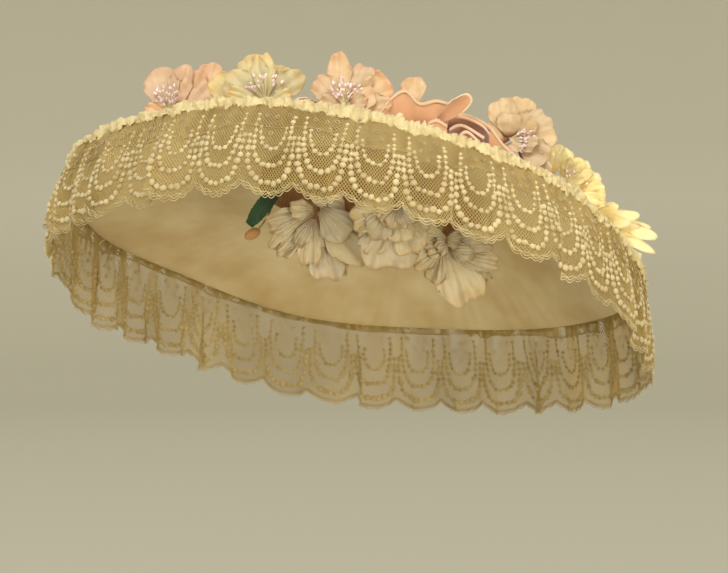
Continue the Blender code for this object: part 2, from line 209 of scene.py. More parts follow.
def painted(name, colour, roughness):
    """A new material whose Principled BSDF has an even colour and roughness."""
    made = bpy.data.materials.new(name)
    made.use_nodes = True
    shader = made.node_tree.nodes["Principled BSDF"]
    shader.inputs["Base Color"].default_value = linear(colour)
    shader.inputs["Roughness"].default_value = roughness
    return made, made.node_tree, shader


turns = np.arange(SWEEP_COLUMNS) * 360 / SWEEP_COLUMNS
sweep_rows = [around(turns) * out + np.array([0, 0, FLOOR_HEIGHT + up]) for out, up in SWEEP[1:]]
sweep_faces = grid_faces(len(sweep_rows), SWEEP_COLUMNS, True)
sweep_mesh = mesh_from("backdrop", np.array(sweep_rows), sweep_faces)
sweep = bmesh.new()
sweep.from_mesh(sweep_mesh)
sweep.verts.ensure_lookup_table()
sweep.faces.new([sweep.verts[i] for i in range(SWEEP_COLUMNS)])
bmesh.ops.recalc_face_normals(sweep, faces=sweep.faces)
sweep.to_mesh(sweep_mesh)
sweep.free()
paper, tree, shader = painted("backdrop_paper", BACKDROP, 1.0)
place = add_node(tree, "ShaderNodeTexCoord").outputs["Object"]
height = add_node(tree, "ShaderNodeSeparateXYZ", {"Vector": place}).outputs["Z"]
rise = ranged(tree, height, FLOOR_HEIGHT, FLOOR_HEIGHT + TONE_RISE)
tree.links.new(mixed(tree, rise, linear(FLOOR_TONE), linear(BACKDROP)), shader.inputs["Base Color"])
sweep_mesh.materials.append(paper)
sweep_mesh.shade_smooth()
link_object("backdrop", sweep_mesh)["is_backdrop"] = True
print("floor at", FLOOR_HEIGHT)

# %% [markdown]
# ## Light
# The photograph has broad warm light from above the camera's left shoulder, a weaker fill from
# the right, and enough light from the room that the underside of the brim stays open. Soft
# spots from low down reach the underside and the inside of the far lace, and one behind the hat
# shines through the net. A row with a cone is a spot and a row without one is a square lamp.

# %% Light
Lamp = namedtuple("Lamp", "name cone right back up aim_up size power colour")
LAMPS = [
    Lamp("key", 0, -0.7, 2.1, 1.5, 0.0, 1.1, 35.0, "#FFFAF2"),
    Lamp("fill", 40, 1.7, 1.5, 0.3, 0.0, 1.3, 58.0, "#FFFBF5"),
    Lamp("under", 40, 0.8, 1.4, -0.34, 0.0, 0.7, 24.0, "#FFF3DC"),
    Lamp("inside", 20, 0.5, 1.85, -0.30, -0.12, 0.3, 33.0, "#FFF3CC"),
    Lamp("through", 40, 0.4, -1.9, 0.45, 0.0, 0.7, 60.0, "#FFF6E4"),
]
ROOM_LIGHT = 1.15
ROOM_COLOUR = "#FFFFFF"

for row in LAMPS:
    light = bpy.data.lights.new(row.name, "SPOT" if row.cone else "AREA")
    if row.cone:
        light.shadow_soft_size = row.size / 2
        light.spot_size = math.radians(row.cone)
        light.spot_blend = 1.0
    else:
        light.size = row.size
    light.energy = row.power
    light.color = linear(row.colour)[:3]
    lamp = link_object(row.name, light)
    lamp.location = picture_right * row.right + toward_camera * row.back + UP * row.up
    aim_at(lamp, UP * row.aim_up)
    lamp.visible_camera = False
room = bpy.data.worlds.new("room")
bpy.context.scene.world = room
room.use_nodes = True
glow = room.node_tree.nodes["Background"]
glow.inputs["Color"].default_value = linear(ROOM_COLOUR)
glow.inputs["Strength"].default_value = ROOM_LIGHT
bpy.context.scene.view_settings.view_transform = "Standard"
print("lamps:", len(LAMPS))

# %% [markdown]
# ## The hat's lines
# The solids were made from a few curves: the oval head opening, the drooping rim, and the way
# the flounce leans and ruffles round it. The same curves are repeated here, so that the
# finished cloth lies exactly where the solids are. They take whole arrays of azimuths at once.

# %% Rim and brim surface
PITCH_DEG = 22.0
RIM_HALF_WIDTH = 0.218
RIM_HALF_LENGTH = 0.188
RIM_SHIFT = 0.016
BRIM_WALL = 0.0022
BRIM_DROOP = 0.055
BRIM_CURVE = 1.7
HEAD_HALF_WIDTH = 0.080
HEAD_HALF_LENGTH = 0.093
SEAM_GAP = 0.0004
RIM_DROOP = [0.69, 0.70, 0.51, 0.50, 0.22, 0.25, 0.17, 0.34, 0.55, 0.89, 0.90, 0.79]
LACE_LEAN = [4, 3, 0, 0, 14, 26, 34, 36, 22, 2, 4, 4]
LACE_SWELL = [0.90, 1.00, 1.10, 1.15, 1.20, 0.95, 0.70, 0.75, 0.85, 1.05, 1.10, 1.00]
TILT = np.array(Matrix.Rotation(math.radians(PITCH_DEG), 3, "X"))


def rim_value(azimuth, column):
    """A value that changes round the rim, on a closed smooth curve through the column."""
    values = np.array(column, float)
    place = np.mod(azimuth, 360.0) * len(values) / 360
    row = np.floor(place).astype(int)
    t = place - row
    before, at, after, beyond = (values[(row + k) % len(values)] for k in (-1, 0, 1, 2))
    return (
        (2 * t**3 - 3 * t**2 + 1) * at
        + (t**3 - 2 * t**2 + t) * (after - before) / 2
        + (3 * t**2 - 2 * t**3) * after
        + (t**3 - t**2) * (beyond - at) / 2
    )


def brim_point(azimuth, reach):
    """The brim's middle surface, level: reach 0 is the head opening and 1 the rim."""
    azimuth, reach = np.broadcast_arrays(np.asarray(azimuth, float), np.asarray(reach, float))
    inner = around(azimuth) * [HEAD_HALF_WIDTH, HEAD_HALF_LENGTH, 0]
    outer = around(azimuth) * [RIM_HALF_WIDTH, RIM_HALF_LENGTH, 0] + [RIM_SHIFT, 0, 0]
    points = inner + (outer - inner) * reach[..., None]
    points[..., 2] = -BRIM_DROOP * rim_value(azimuth, RIM_DROOP) * np.maximum(reach, 0) ** BRIM_CURVE
    return points


def worn(points):
    """Level points moved to where they are on the pitched hat."""
    return np.asarray(points) @ TILT.T


def unit(vectors):
    """Vectors of length 1."""
    return vectors / np.linalg.norm(vectors, axis=-1, keepdims=True)


def brim_normal(azimuth, reach):
    """Upward normals of the level brim."""
    azimuth, reach = np.asarray(azimuth), np.asarray(reach)
    across = brim_point(azimuth, reach + 0.01) - brim_point(azimuth, reach - 0.01)
    along = brim_point(azimuth + 0.5, reach) - brim_point(azimuth - 0.5, reach)
    return unit(np.cross(across, along))


def run_of(points):
    """The distance from the first point of a line to each of its points."""
    steps = np.linalg.norm(np.diff(points, axis=0), axis=1)
    return np.concatenate([[0], np.cumsum(steps)])


rim_length = run_of(brim_point(np.arange(0, 361, 1.0), 1.0))[-1]
print("rim:", round(rim_length, 3), "m round")

# %% [markdown]
# ## The lace's surface
# The flounce is one long strip of net, gathered a little where it is sewn to the rim. It
# leaves the rim at a slant, hangs straighter towards its hem and swings in and out in ruffles.
# Every thread, dot and cord is laid on this one surface, by its place round the rim and its
# depth below the seam, as a needle would place it on the flat net.

# %% Lace surface
LACE_LENGTH = 0.068
LACE_STAND = 0.0022
LACE_RISE = 0.0012
SCALLOP_COUNT = 39
SCALLOP_DEPTH = 0.010
SCALLOP_ROUNDNESS = 0.75
CUSP_SOFTNESS = 0.035
LEAN_AT_SEAM = 1.35
LEAN_AT_HEM = 0.65
RUFFLE_COUNT = 31
RUFFLE_DEPTH = 0.0075
RUFFLE_GROWTH = 0.8
RUFFLE_DRIFT = [(5, 1.3, 0.0), (3, 0.8, 1.0)]
GATHER_COUNT = 140
GATHER_DEPTH = 0.0009
GATHER_FADE = 4
FOLD_SWAY = 0.0035
PLEAT_GROWTH = 0.7
PLEAT_TUCK = 1.6
Pleat = namedtuple("Pleat", "azimuth width overlap lift")
PLEATS = [Pleat(*values) for values in (
    (112, 0.010, 0.009, 0.005), (131, 0.010, 0.011, 0.006), (147, 0.010, 0.010, 0.005),
    (164, 0.011, 0.014, 0.007), (196, 0.010, 0.008, 0.004), (216, 0.011, 0.010, 0.005),
    (238, 0.010, 0.009, 0.005), (262, 0.010, 0.010, 0.005), (287, 0.010, 0.007, 0.004),
    (338, 0.011, 0.008, 0.005), (18, 0.010, 0.006, 0.004), (52, 0.011, 0.008, 0.005),
    (84, 0.010, 0.007, 0.004),
)]


def ruffle_phase(turn):
    """Where in its wave each place of the ruffle is, which drifts so that no two are alike."""
    phase = 2 * np.pi * RUFFLE_COUNT * turn
    for waves, amount, start in RUFFLE_DRIFT:
        phase = phase + amount * np.sin(2 * np.pi * waves * turn + start)
    return phase


def hem_depth(cloth):
    """Depth of the scalloped hem below the seam."""
    arch = np.sin(np.pi * SCALLOP_COUNT * cloth) ** 2
    swing = np.sqrt((arch + CUSP_SOFTNESS) / (1 + CUSP_SOFTNESS))
    return LACE_LENGTH - SCALLOP_DEPTH * (1 - swing**SCALLOP_ROUNDNESS)


def hung_point(turn, depth, lift=0.0):
    """The hanging surface: turn 0 to 1 round the rim, depth below the seam, lift out of it."""
    turn, depth = np.broadcast_arrays(np.asarray(turn, float), np.asarray(depth, float))
    azimuth = 360 * turn
    ahead, behind = (worn(brim_point(azimuth + step, 1.0)) for step in (1, -1))
    along = unit((ahead - behind) * [1, 1, 0])
    out = np.stack([along[..., 1], -along[..., 0], np.zeros_like(turn)], axis=-1)
    share = np.clip(depth / LACE_LENGTH, 0, 1.2)
    lean = np.radians(rim_value(azimuth, LACE_LEAN))
    lean = lean * (LEAN_AT_SEAM + (LEAN_AT_HEM - LEAN_AT_SEAM) * share)
    phase = ruffle_phase(turn)
    swell = rim_value(azimuth, LACE_SWELL)
    wave = RUFFLE_DEPTH * swell * share**RUFFLE_GROWTH * (0.5 + 0.5 * np.sin(phase))
    gathers = np.sin(2 * np.pi * GATHER_COUNT * turn + 3 * np.sin(phase))
    gathers = GATHER_DEPTH * gathers * np.exp(-GATHER_FADE * share)
    sway = FOLD_SWAY * swell**2 * share * np.sin(2 * phase)
    for pleat in PLEATS:
        off = ((turn - pleat.azimuth / 360 + 0.5) % 1 - 0.5) * rim_length / pleat.width
        hump = np.exp(-(off**2))
        sway = sway - pleat.overlap * share**PLEAT_GROWTH * off * PLEAT_TUCK * hump
        wave = wave + pleat.lift * share**PLEAT_GROWTH * hump * (1 + off)
    start = worn(brim_point(azimuth, 1.0)) + out * LACE_STAND + [0, 0, LACE_RISE]
    flat_out = depth * np.sin(lean) + wave + gathers + lift * np.cos(lean)
    down = np.multiply.outer(depth * np.cos(lean) - lift * np.sin(lean), [0, 0, 1])
    return start + out * flat_out[..., None] + along * sway[..., None] - down


CLOTH_SAMPLES = 7200
MEASURED_AT = 0.55
rim_turns = np.linspace(0, 1, CLOTH_SAMPLES + 1)
cloth_run = run_of(hung_point(rim_turns, MEASURED_AT * LACE_LENGTH))
cloth_length = cloth_run[-1]


def lace_point(cloth, depth, lift=0.0):
    """The net by its own length: cloth 0 to 1 along the strip, so that folds take more of it."""
    whole = np.floor(cloth)
    turn = np.interp(cloth - whole, cloth_run / cloth_length, rim_turns) + whole
    return hung_point(turn, depth, lift)


def lace_frame(cloth, depth):
    """A place on the net with its outward normal and its direction along the rim."""
    at = lace_point(cloth, depth)
    along = unit(lace_point(cloth + 0.0004, depth) - lace_point(cloth - 0.0004, depth))
    down = unit(lace_point(cloth, depth + 0.0005) - lace_point(cloth, np.asarray(depth) - 0.0005))
    return at, unit(np.cross(down, along)), along


_, back_normal, _ = lace_frame(np.array([0.5]), np.array([0.03]))
print("net faces outwards:", bool((back_normal[0] * around(180.0)).sum() > 0))
print("strip:", round(cloth_length, 3), "m")

# %% [markdown]
# ## A tree that spins threads
# Net, cords, loops and stamen stems are all the same job: a thin round thread along a line.
# Geometry Nodes do it once for all of them. The lines come in as edges, become curves, and a
# small circle is swept along each. Three sides are enough for a thread half a millimetre thick.

# %% Thread tree
def start_tree(name, inputs):
    """A Geometry Nodes tree with inputs and one output, and the sockets of its inputs."""
    tree = bpy.data.node_groups.new(name, "GeometryNodeTree")
    for label, kind in inputs.items():
        tree.interface.new_socket(label, in_out="INPUT", socket_type="NodeSocket" + kind)
    tree.interface.new_socket("Made", in_out="OUTPUT", socket_type="NodeSocketGeometry")
    return tree, add_node(tree, "NodeGroupInput").outputs


def end_tree(tree, geometry, finish):
    """Realise what a tree made, give it its material and put it out."""
    whole = add_node(tree, "GeometryNodeRealizeInstances", {"Geometry": geometry})
    dress = {"Geometry": whole.outputs[0], "Material": finish}
    dressed = add_node(tree, "GeometryNodeSetMaterial", dress)
    add_node(tree, "NodeGroupOutput", {"Made": dressed.outputs[0]})
    return tree


def thread_tree():
    """Edges to closed round threads."""
    tree, given = start_tree("spin_threads", {
        "Lines": "Geometry", "Radius": "Float", "Sides": "Int", "Finish": "Material"})
    curves = add_node(tree, "GeometryNodeMeshToCurve", {"Mesh": given["Lines"]})
    ring = add_node(tree, "GeometryNodeCurvePrimitiveCircle",
                    {"Resolution": given["Sides"], "Radius": given["Radius"]})
    sweep = {"Curve": curves.outputs[0], "Profile Curve": ring.outputs["Curve"], "Fill Caps": True}
    tubes = add_node(tree, "GeometryNodeCurveToMesh", sweep)
    return end_tree(tree, tubes.outputs[0], given["Finish"])


def grown(name, mesh, tree, **values):
    """Run a Geometry Nodes tree on a mesh and keep the result as a plain mesh."""
    seed = link_object(name + "_seed", mesh)
    modifier = seed.modifiers.new("grow", "NODES")
    modifier.node_group = tree
    for item in tree.interface.items_tree:
        if item.in_out == "INPUT" and item.name in values:
            modifier[item.identifier] = values[item.name]
    graph = bpy.context.evaluated_depsgraph_get()
    made = bpy.data.meshes.new_from_object(seed.evaluated_get(graph))
    made.name = name
    seed.modifiers.clear()
    bpy.data.objects.remove(seed)
    return made


def line_mesh(name, lines, closed=False):
    """Edges through each line of points."""
    points, edges = [], []
    for line in lines:
        first = len(points)
        points.extend(line)
        edges += [(first + i, first + i + 1) for i in range(len(line) - 1)]
        if closed:
            edges.append((first + len(line) - 1, first))
    return mesh_from(name, points, edges=edges)


SPIN_THREADS = thread_tree()


def add_threads(name, lines, radius, sides, finish, slot, *nodes, closed=False):
    """Spin threads along lines of points, as one piece."""
    mesh = grown(name, line_mesh(name + "_lines", lines, closed), SPIN_THREADS,
                 Radius=radius, Sides=sides, Finish=finish)
    return add_piece(name, mesh, None, slot, *nodes)


print("tree:", SPIN_THREADS.name)

# %% [markdown]
# ## Cotton for the lace
# The net and its embroidery are cotton thread that has yellowed unevenly with age. Cotton
# has no gloss and its loose fibres catch light at the edge, which a little sheen gives. The
# padded dots are satin stitch: a fine wave bump lays threads 0.4 mm apart over them.

# %% Lace materials
def bumped(tree, shader, height, distance_mm, strength):
    """Raise a surface by a pattern of a real height."""
    bump = add_node(tree, "ShaderNodeBump",
                    {"Height": height, "Distance": distance_mm / 1000, "Strength": strength})
    tree.links.new(bump.outputs["Normal"], shader.inputs["Normal"])


def let_through(tree, shader, colour, share):
    """Thin cloth: part of the light passes and leaves on the other side."""
    glow = add_node(tree, "ShaderNodeBsdfTranslucent")
    tree.links.new(colour, glow.inputs["Color"])
    both = add_node(tree, "ShaderNodeMixShader",
                    {"Fac": share, 1: shader.outputs[0], 2: glow.outputs[0]})
    tree.links.new(both.outputs[0], tree.nodes["Material Output"].inputs["Surface"])


def dyed(name, pale, deep, patch_mm, roughness, sheen=0.0, share=0.0, low=0.35, high=0.68):
    """A cloth that drifts between two shades in patches of a real size."""
    made, tree, shader = painted(name, pale, roughness)
    place = add_node(tree, "ShaderNodeTexCoord").outputs["Object"]
    patches = add_node(tree, "ShaderNodeTexNoise",
                       {"Vector": place, "Scale": 1000 / patch_mm, "Detail": 3.0})
    ramp = add_node(tree, "ShaderNodeValToRGB", {"Fac": patches.outputs["Fac"]})
    for stop, position, colour in zip(ramp.color_ramp.elements, (low, high), (deep, pale)):
        stop.position = position
        stop.color = linear(colour)
    tree.links.new(ramp.outputs["Color"], shader.inputs["Base Color"])
    shader.inputs["Sheen Weight"].default_value = sheen
    if share:
        let_through(tree, shader, ramp.outputs["Color"], share)
    return made, tree, shader, place


STITCH_SPACING = 0.0004
NET_PATCH_MM = 60
net_cotton, *_ = dyed("cotton_net", "#ECD692", "#D0B66C", NET_PATCH_MM, 0.9, 0.25, 0.45)
pale_cotton, *_ = dyed("pale_cotton_net", "#E8D596", "#D2B878", NET_PATCH_MM, 0.9, 0.0, 0.5)
stitch_cotton, tree, shader, place = dyed(
    "cotton_satin_stitch", "#CFBE8E", "#A8925E", 9, 0.75, 0.3, 0.0, 0.3, 0.7)
stitches = add_node(tree, "ShaderNodeTexWave",
                    {"Vector": place, "Scale": 1 / STITCH_SPACING / 20, "Distortion": 1.5, "Detail": 1.0},
                    bands_direction="DIAGONAL")
bumped(tree, shader, stitches.outputs["Fac"], 0.12, 0.8)
print("lace materials:", net_cotton.name, stitch_cotton.name)

# %% [markdown]
# ## The net
# Machine net is a mesh of fine threads that cross on the bias. Two families of threads are
# laid at the same slope to left and right, from the seam to the scalloped hem. Open holes
# matter here: the flowers and the shadow under the brim show through them. The real net is
# finer than this one, which is as fine as a picture of this size can show.

# %% Net threads
NET_PITCH = 0.0017
NET_SLOPE_DEG = 52.0
NET_THREAD = 0.00032
NET_STEPS = 20
HEADING_PITCH = 0.0019
HEADING_SLOPE_DEG = 47.0
HEADING_DEPTH = 0.023
HEADING_STEPS = 9
HEADING_WAVER = 1.2
HEADING_LIFT = 0.0006
HEADING_HEM_LIFT = 0.0008
HEADING_POINTS = 1600
HEADING_MIDDLE = 0.564
HEADING_NARROWEST = 0.3


def heading_depth(cloth):
    """Depth of the doubled net at the top, which wavers a little and is narrow at the front."""
    turn = 2 * np.pi * cloth
    near = 0.75 - 0.60 * np.cos(turn - 2 * np.pi * (HEADING_MIDDLE + 0.5))
    waver = 1 + 0.12 * np.sin(9 * turn) + 0.08 * np.sin(23 * turn + 1)
    return HEADING_DEPTH * np.clip(near, HEADING_NARROWEST, 1) * waver


def net_threads(pitch, slope_deg, bottom, deepest, steps, lift=0.0):
    """Both families of threads of a net, cut off where they meet its lower edge."""
    slope = math.radians(slope_deg)
    columns = round(cloth_length * math.sin(slope) / pitch)
    depths = np.linspace(0, deepest, steps + 1)
    lines = []
    for i in range(columns):
        for side in (-1, 1):
            cloth = i / columns + side * depths / math.tan(slope) / cloth_length
            hem = bottom(cloth)
            kept = min(int((depths < hem - 0.0004).sum()), steps) + 1
            lines.append(lace_point(cloth[:kept], np.minimum(depths, hem)[:kept], lift))
    return lines


heading_lines = net_threads(HEADING_PITCH, HEADING_SLOPE_DEG, heading_depth,
                            HEADING_DEPTH * HEADING_WAVER, HEADING_STEPS, HEADING_LIFT)
heading_cloth = np.arange(HEADING_POINTS) / HEADING_POINTS
heading_lines.append(lace_point(heading_cloth, heading_depth(heading_cloth), HEADING_HEM_LIFT))
lace_heading = add_threads("lace_heading", heading_lines, NET_THREAD, 3, pale_cotton, "lace_cotton")
net_lines = net_threads(NET_PITCH, NET_SLOPE_DEG, hem_depth, LACE_LENGTH, NET_STEPS)
lace_net = add_threads("lace_net", net_lines, NET_THREAD, 3, net_cotton, "lace_cotton", "lace_flounce")
print("threads:", len(net_lines), "triangles:", sum(len(p.vertices) - 2 for p in lace_net.data.polygons))

# %% [markdown]
# ## Embroidered scallops
# Each scallop carries three nested garlands of padded dots, like beads on a string. The arms
# of neighbouring scallops run up side by side as a double row towards the seam. The table
# gives each garland's half width, as a share of the scallop's, the depth of its arms' tops
# and of its lowest point, as shares of the lace, the size and spacing of its dots, and how
# square its curve is: 1 is an arch, and less has a flatter foot and straighter arms.

# %% Garlands
Garland = namedtuple("Garland", "half top low dot spacing squareness")
GARLANDS = [
    Garland(0.48, 0.32, 0.560, 0.0039, 0.0042, 0.85),
    Garland(0.73, 0.17, 0.730, 0.0043, 0.0045, 0.68),
    Garland(0.89, 0.42, 0.890, 0.0047, 0.0048, 0.68),
]
CORD_STEP = 0.0022
DOT_SMALLEST = 0.60
DOT_FULL_SIZE_AT = 0.62
GARLAND_POINTS = 60
DOT_JITTER = 0.00035
chance = np.random.default_rng(7)


def evenly(cloth, depth, spacing):
    """Points a real distance apart along a line on the lace."""
    run = run_of(lace_point(cloth, depth))
    places = np.linspace(0, run[-1], max(2, round(run[-1] / spacing) + 1))
    return np.interp(places, run, cloth), np.interp(places, run, depth)


def garland_line(scallop, row):
    """A garland as places on the lace: down one arm, round and up the other."""
    angle = np.linspace(0, np.pi, GARLAND_POINTS)
    across = -np.sign(np.cos(angle)) * np.abs(np.cos(angle)) ** row.squareness * row.half
    share = row.top + (row.low - row.top) * np.sin(angle) ** row.squareness
    return (scallop + 0.5 + across / 2) / SCALLOP_COUNT, share * LACE_LENGTH


dot_turn, dot_depth, dot_size, garland_lines = [], [], [], []
for scallop in range(SCALLOP_COUNT):
    for row in GARLANDS:
        turn, depth = garland_line(scallop, row)
        cord_turn, cord_depth = evenly(turn, depth, CORD_STEP)
        garland_lines.append(lace_point(cord_turn, cord_depth, NET_THREAD))
        turn, depth = evenly(turn, depth, row.spacing)
        low = np.clip(depth / LACE_LENGTH / DOT_FULL_SIZE_AT, 0, 1)
        fade = DOT_SMALLEST + (1 - DOT_SMALLEST) * low
        dot_turn.append(turn + chance.normal(0, DOT_JITTER, len(turn)) / cloth_length)
        dot_depth.append(depth + chance.normal(0, DOT_JITTER, len(turn)))
        dot_size.append(row.dot * fade * chance.uniform(0.84, 1.12, len(turn)))
dot_turn, dot_depth, dot_size = (np.concatenate(v) for v in (dot_turn, dot_depth, dot_size))
print("dots:", len(dot_turn))

# %% [markdown]
# ## A tree that sews on small shapes
# Each dot is a point that knows its size, which way the cloth faces and which way the
# garland runs. The tree puts one small shape on every point, turned to those directions, and
# realises them. A dot is a flattened sphere of 48 triangles, because there are two thousand.

# %% Sewing tree
def sewing_tree():
    """Points to small shapes, by the points' attributes size, facing and along."""
    tree, given = start_tree("sew_on", {"Points": "Geometry", "Shape": "Object", "Finish": "Material"})
    shape = add_node(tree, "GeometryNodeObjectInfo", {"Object": given["Shape"]})
    reader = "GeometryNodeInputNamedAttribute"
    facing, along, size = (add_node(tree, reader, {"Name": name}, data_type="FLOAT_VECTOR").outputs[0]
                           for name in ("facing", "along", "size"))
    stand = add_node(tree, "FunctionNodeAlignRotationToVector", {"Vector": facing}, axis="Z")
    turned = add_node(tree, "FunctionNodeAlignRotationToVector",
                      {"Rotation": stand.outputs[0], "Vector": along}, axis="X", pivot_axis="Z")
    placed = add_node(tree, "GeometryNodeInstanceOnPoints",
                      {"Points": given["Points"], "Instance": shape.outputs["Geometry"],
                       "Rotation": turned.outputs[0], "Scale": size})
    return end_tree(tree, placed.outputs[0], given["Finish"])


def ball_mesh(name, segments, rings):
    """A ball 1 across."""
    ball = bmesh.new()
    bmesh.ops.create_uvsphere(ball, u_segments=segments, v_segments=rings, radius=0.5)
    mesh = bpy.data.meshes.new(name)
    ball.to_mesh(mesh)
    ball.free()
    mesh.shade_smooth()
    return mesh


def point_mesh(name, points, facing, along, size):
    """Points with the attributes that the sewing tree reads."""
    mesh = mesh_from(name, points)
    for key, values in (("facing", facing), ("along", along), ("size", size)):
        mesh.attributes.new(key, "FLOAT_VECTOR", "POINT").data.foreach_set("vector", np.ravel(values))
    return mesh


def sewn(name, points, facing, along, size, shape_mesh, finish):
    """A plain mesh with one small shape at every point."""
    shape = link_object(name + "_shape", shape_mesh)
    points = point_mesh(name + "_points", points, facing, along, size)
    made = grown(name, points, SEW_ON, Shape=shape, Finish=finish)
    bpy.data.objects.remove(shape)
    return made


SEW_ON = sewing_tree()
DOT_SHAPE = [1.06, 0.98, 0.56]
DOT_STAND = 0.12
at, facing, along = lace_frame(dot_turn, dot_depth)
at = at + facing * (dot_size * DOT_STAND)[:, None]
size = dot_size[:, None] * DOT_SHAPE * chance.uniform(0.88, 1.12, (len(dot_size), 3))
dots_mesh = sewn("lace_dots", at, facing, along, size, ball_mesh("dot", 8, 4), stitch_cotton)
lace_dots = add_piece("lace_dots", dots_mesh, None, "lace_cotton")
print("dot triangles:", sum(len(p.vertices) - 2 for p in dots_mesh.polygons))

# %% [markdown]
# ## Cords, hem and eyelets
# A fine cord runs under each garland. The hem is finished with two wavy cords that cross and
# leave tiny loops, and each scallop's field holds a few worked rings. All are threads again.

# %% Cords and eyelets
GARLAND_CORD = 0.00055
HEM_CORD = 0.00037
HEM_WAVES = 6
HEM_STEPS = 2280
EYELETS = [(0.0, 0.400), (-0.22, 0.310), (0.20, 0.290), (0.02, 0.205), (-0.34, 0.190), (0.38, 0.170)]
EYELET_RADIUS = 0.00125
EYELET_POINTS = 10
EYELET_CORD = 0.0004
EYELET_JITTER = 0.0008
EYELET_LIFT = 0.0013

def embroider(name, lines, radius, sides, closed=False):
    """Stitches of the lace, as one piece."""
    return add_threads(name, lines, radius, sides, stitch_cotton, "lace_cotton", closed=closed)


garland_cords = embroider("garland_cords", garland_lines, GARLAND_CORD, 3)

hem_turn = np.arange(HEM_STEPS) / HEM_STEPS
hem_phase = 2 * np.pi * SCALLOP_COUNT * HEM_WAVES * hem_turn
hem_line = hem_depth(hem_turn)
hem_cords = embroider("hem_cords", [
    lace_point(hem_turn, hem_line - 0.0018 + 0.0005 * np.sin(hem_phase), 0.0003),
    lace_point(hem_turn, hem_line - 0.0004 - 0.0007 * np.cos(hem_phase), 0.0004),
    lace_point(hem_turn, hem_line + 0.0018 * np.abs(np.sin(hem_phase / 2)), 0.0),
], HEM_CORD, 4, closed=True)

ring_lines = []
around_ring = np.arange(EYELET_POINTS) * 2 * np.pi / EYELET_POINTS
for scallop in range(SCALLOP_COUNT):
    for across, share in EYELETS:
        turn = (scallop + 0.5 + across / 2) / SCALLOP_COUNT
        turn += chance.normal(0, EYELET_JITTER) / cloth_length
        ring_turn = turn + EYELET_RADIUS * np.cos(around_ring) / cloth_length
        ring_depth = share * LACE_LENGTH + EYELET_RADIUS * np.sin(around_ring)
        ring_lines.append(lace_point(ring_turn, ring_depth, EYELET_LIFT))
lace_eyelets = embroider("lace_eyelets", ring_lines, EYELET_CORD, 3, closed=True)

# %% [markdown]
# ## Ruche
# A bias strip of pale chiffon is gathered along its middle and sewn over the seam of the lace.
# It crinkles into small uneven tufts. A cross-section that rises from the brim, rolls over and
# falls in front of the seam is carried round the rim, and noise crumples it.

# %% Ruche
RUCHE_COLUMNS = 2400
RUCHE_ROWS = 13
RUCHE_HEIGHT = 0.0036
RUCHE_INSET = 0.0090
RUCHE_CREST = 0.58
RUCHE_FALL = 0.0052
RUCHE_WALL = 0.0004
RUCHE_STAND = 0.0006
RUCHE_CRUMPLES = ((420, 5, 0.0022), (380, 11, 0.0022), (900, 14, 0.0012))


def crumple(points, scale, seed):
    """Smooth noise from -1 to 1 at each point, with lumps 1 / scale metres apart."""
    flat = np.asarray(points).reshape(-1, 3)
    values = [noise.noise(Vector((p * scale).tolist()) + Vector((seed, seed, seed))) for p in flat]
    return np.array(values).reshape(np.asarray(points).shape[:-1])


chiffon, tree, shader, place = dyed("crinkled_chiffon", "#F8EAB6", "#E2CE98", 9, 0.8, 0.0, 0.35)
crepe = add_node(tree, "ShaderNodeTexNoise", {"Vector": place, "Scale": 900.0, "Detail": 3.0})
bumped(tree, shader, crepe.outputs["Fac"], 0.5, 0.8)

ruche_turn = np.arange(RUCHE_COLUMNS) / RUCHE_COLUMNS
azimuth = 360 * ruche_turn
rim = brim_point(azimuth, 1.0)
inward = unit(brim_point(azimuth, 0.95) - rim)
top = brim_normal(azimuth, 1.0)


def lumps(*layers):
    """Noise along the rim, as a sum of layers with their amount, scale and seed."""
    return sum(amount * crumple(worn(rim), scale, seed) for amount, scale, seed in layers)


tuft = 0.80 + lumps((0.80, 34, 3), (0.60, 95, 8), (0.40, 240, 5))
crinkle = lumps((1.0, 260, 9), (0.5, 620, 2))
tear = lumps((0.9, 60, 6), (0.6, 170, 4), (0.25, 480, 4))
ruche_rows = []
for k in range(RUCHE_ROWS):
    t = k / (RUCHE_ROWS - 1)
    if t < RUCHE_CREST:
        height = RUCHE_HEIGHT * math.sin(math.pi * t) ** 0.7 * tuft * (1 + 0.5 * crinkle)
        inset = RUCHE_INSET * (1 - t / RUCHE_CREST) ** 1.2
        row = worn(rim + inward * inset + top * (BRIM_WALL / 2 + RUCHE_STAND + height)[:, None])
    else:
        down = (t - RUCHE_CREST) / (1 - RUCHE_CREST)
        depth = RUCHE_FALL * down * np.clip(0.55 + 0.45 * tuft + 0.9 * tear, 0.15, 2.1)
        row = hung_point(ruche_turn, depth, 0.0019 + 0.0008 * crinkle - 0.0011 * down)
        row = row + [0, 0, 1] * (RUCHE_HEIGHT * 0.5 * (1 - down) ** 2 * tuft)[:, None]
    ruche_rows.append(row)
ruche_rows = np.array(ruche_rows)
for push, (scale, seed, amount) in zip((top, inward, top), RUCHE_CRUMPLES):
    ruche_rows += worn(push) * (amount * crumple(ruche_rows, scale, seed))[..., None]
ruche_mesh = mesh_from("edge_ruche_chiffon", ruche_rows, grid_faces(RUCHE_ROWS, RUCHE_COLUMNS, True))
ruche = add_piece("edge_ruche_chiffon", ruche_mesh, chiffon, "ruche_chiffon", "edge_ruche")
solidify(ruche, RUCHE_WALL)

# %% [markdown]
# ## Silk over wire: brim, crown and bandeau
# The frame is wire covered with thin silk. On top the silk is gathered towards the crown, so it
# lies in fine radial folds, and below it is stretched nearly smooth over the wires. A closed
# loop of points goes out over the top, round the wire in the edge and back underneath.

# %% Brim
BRIM_COLUMNS = 540
BRIM_ROWS = 26
BRIM_FOLDS = 150
FOLD_HEIGHT = 0.0007
EDGE_WIRE = 0.0010
WIRE_RINGS = [0.30, 0.62]
WIRE_SHOW = 0.00035
WIRE_SPREAD = 0.035


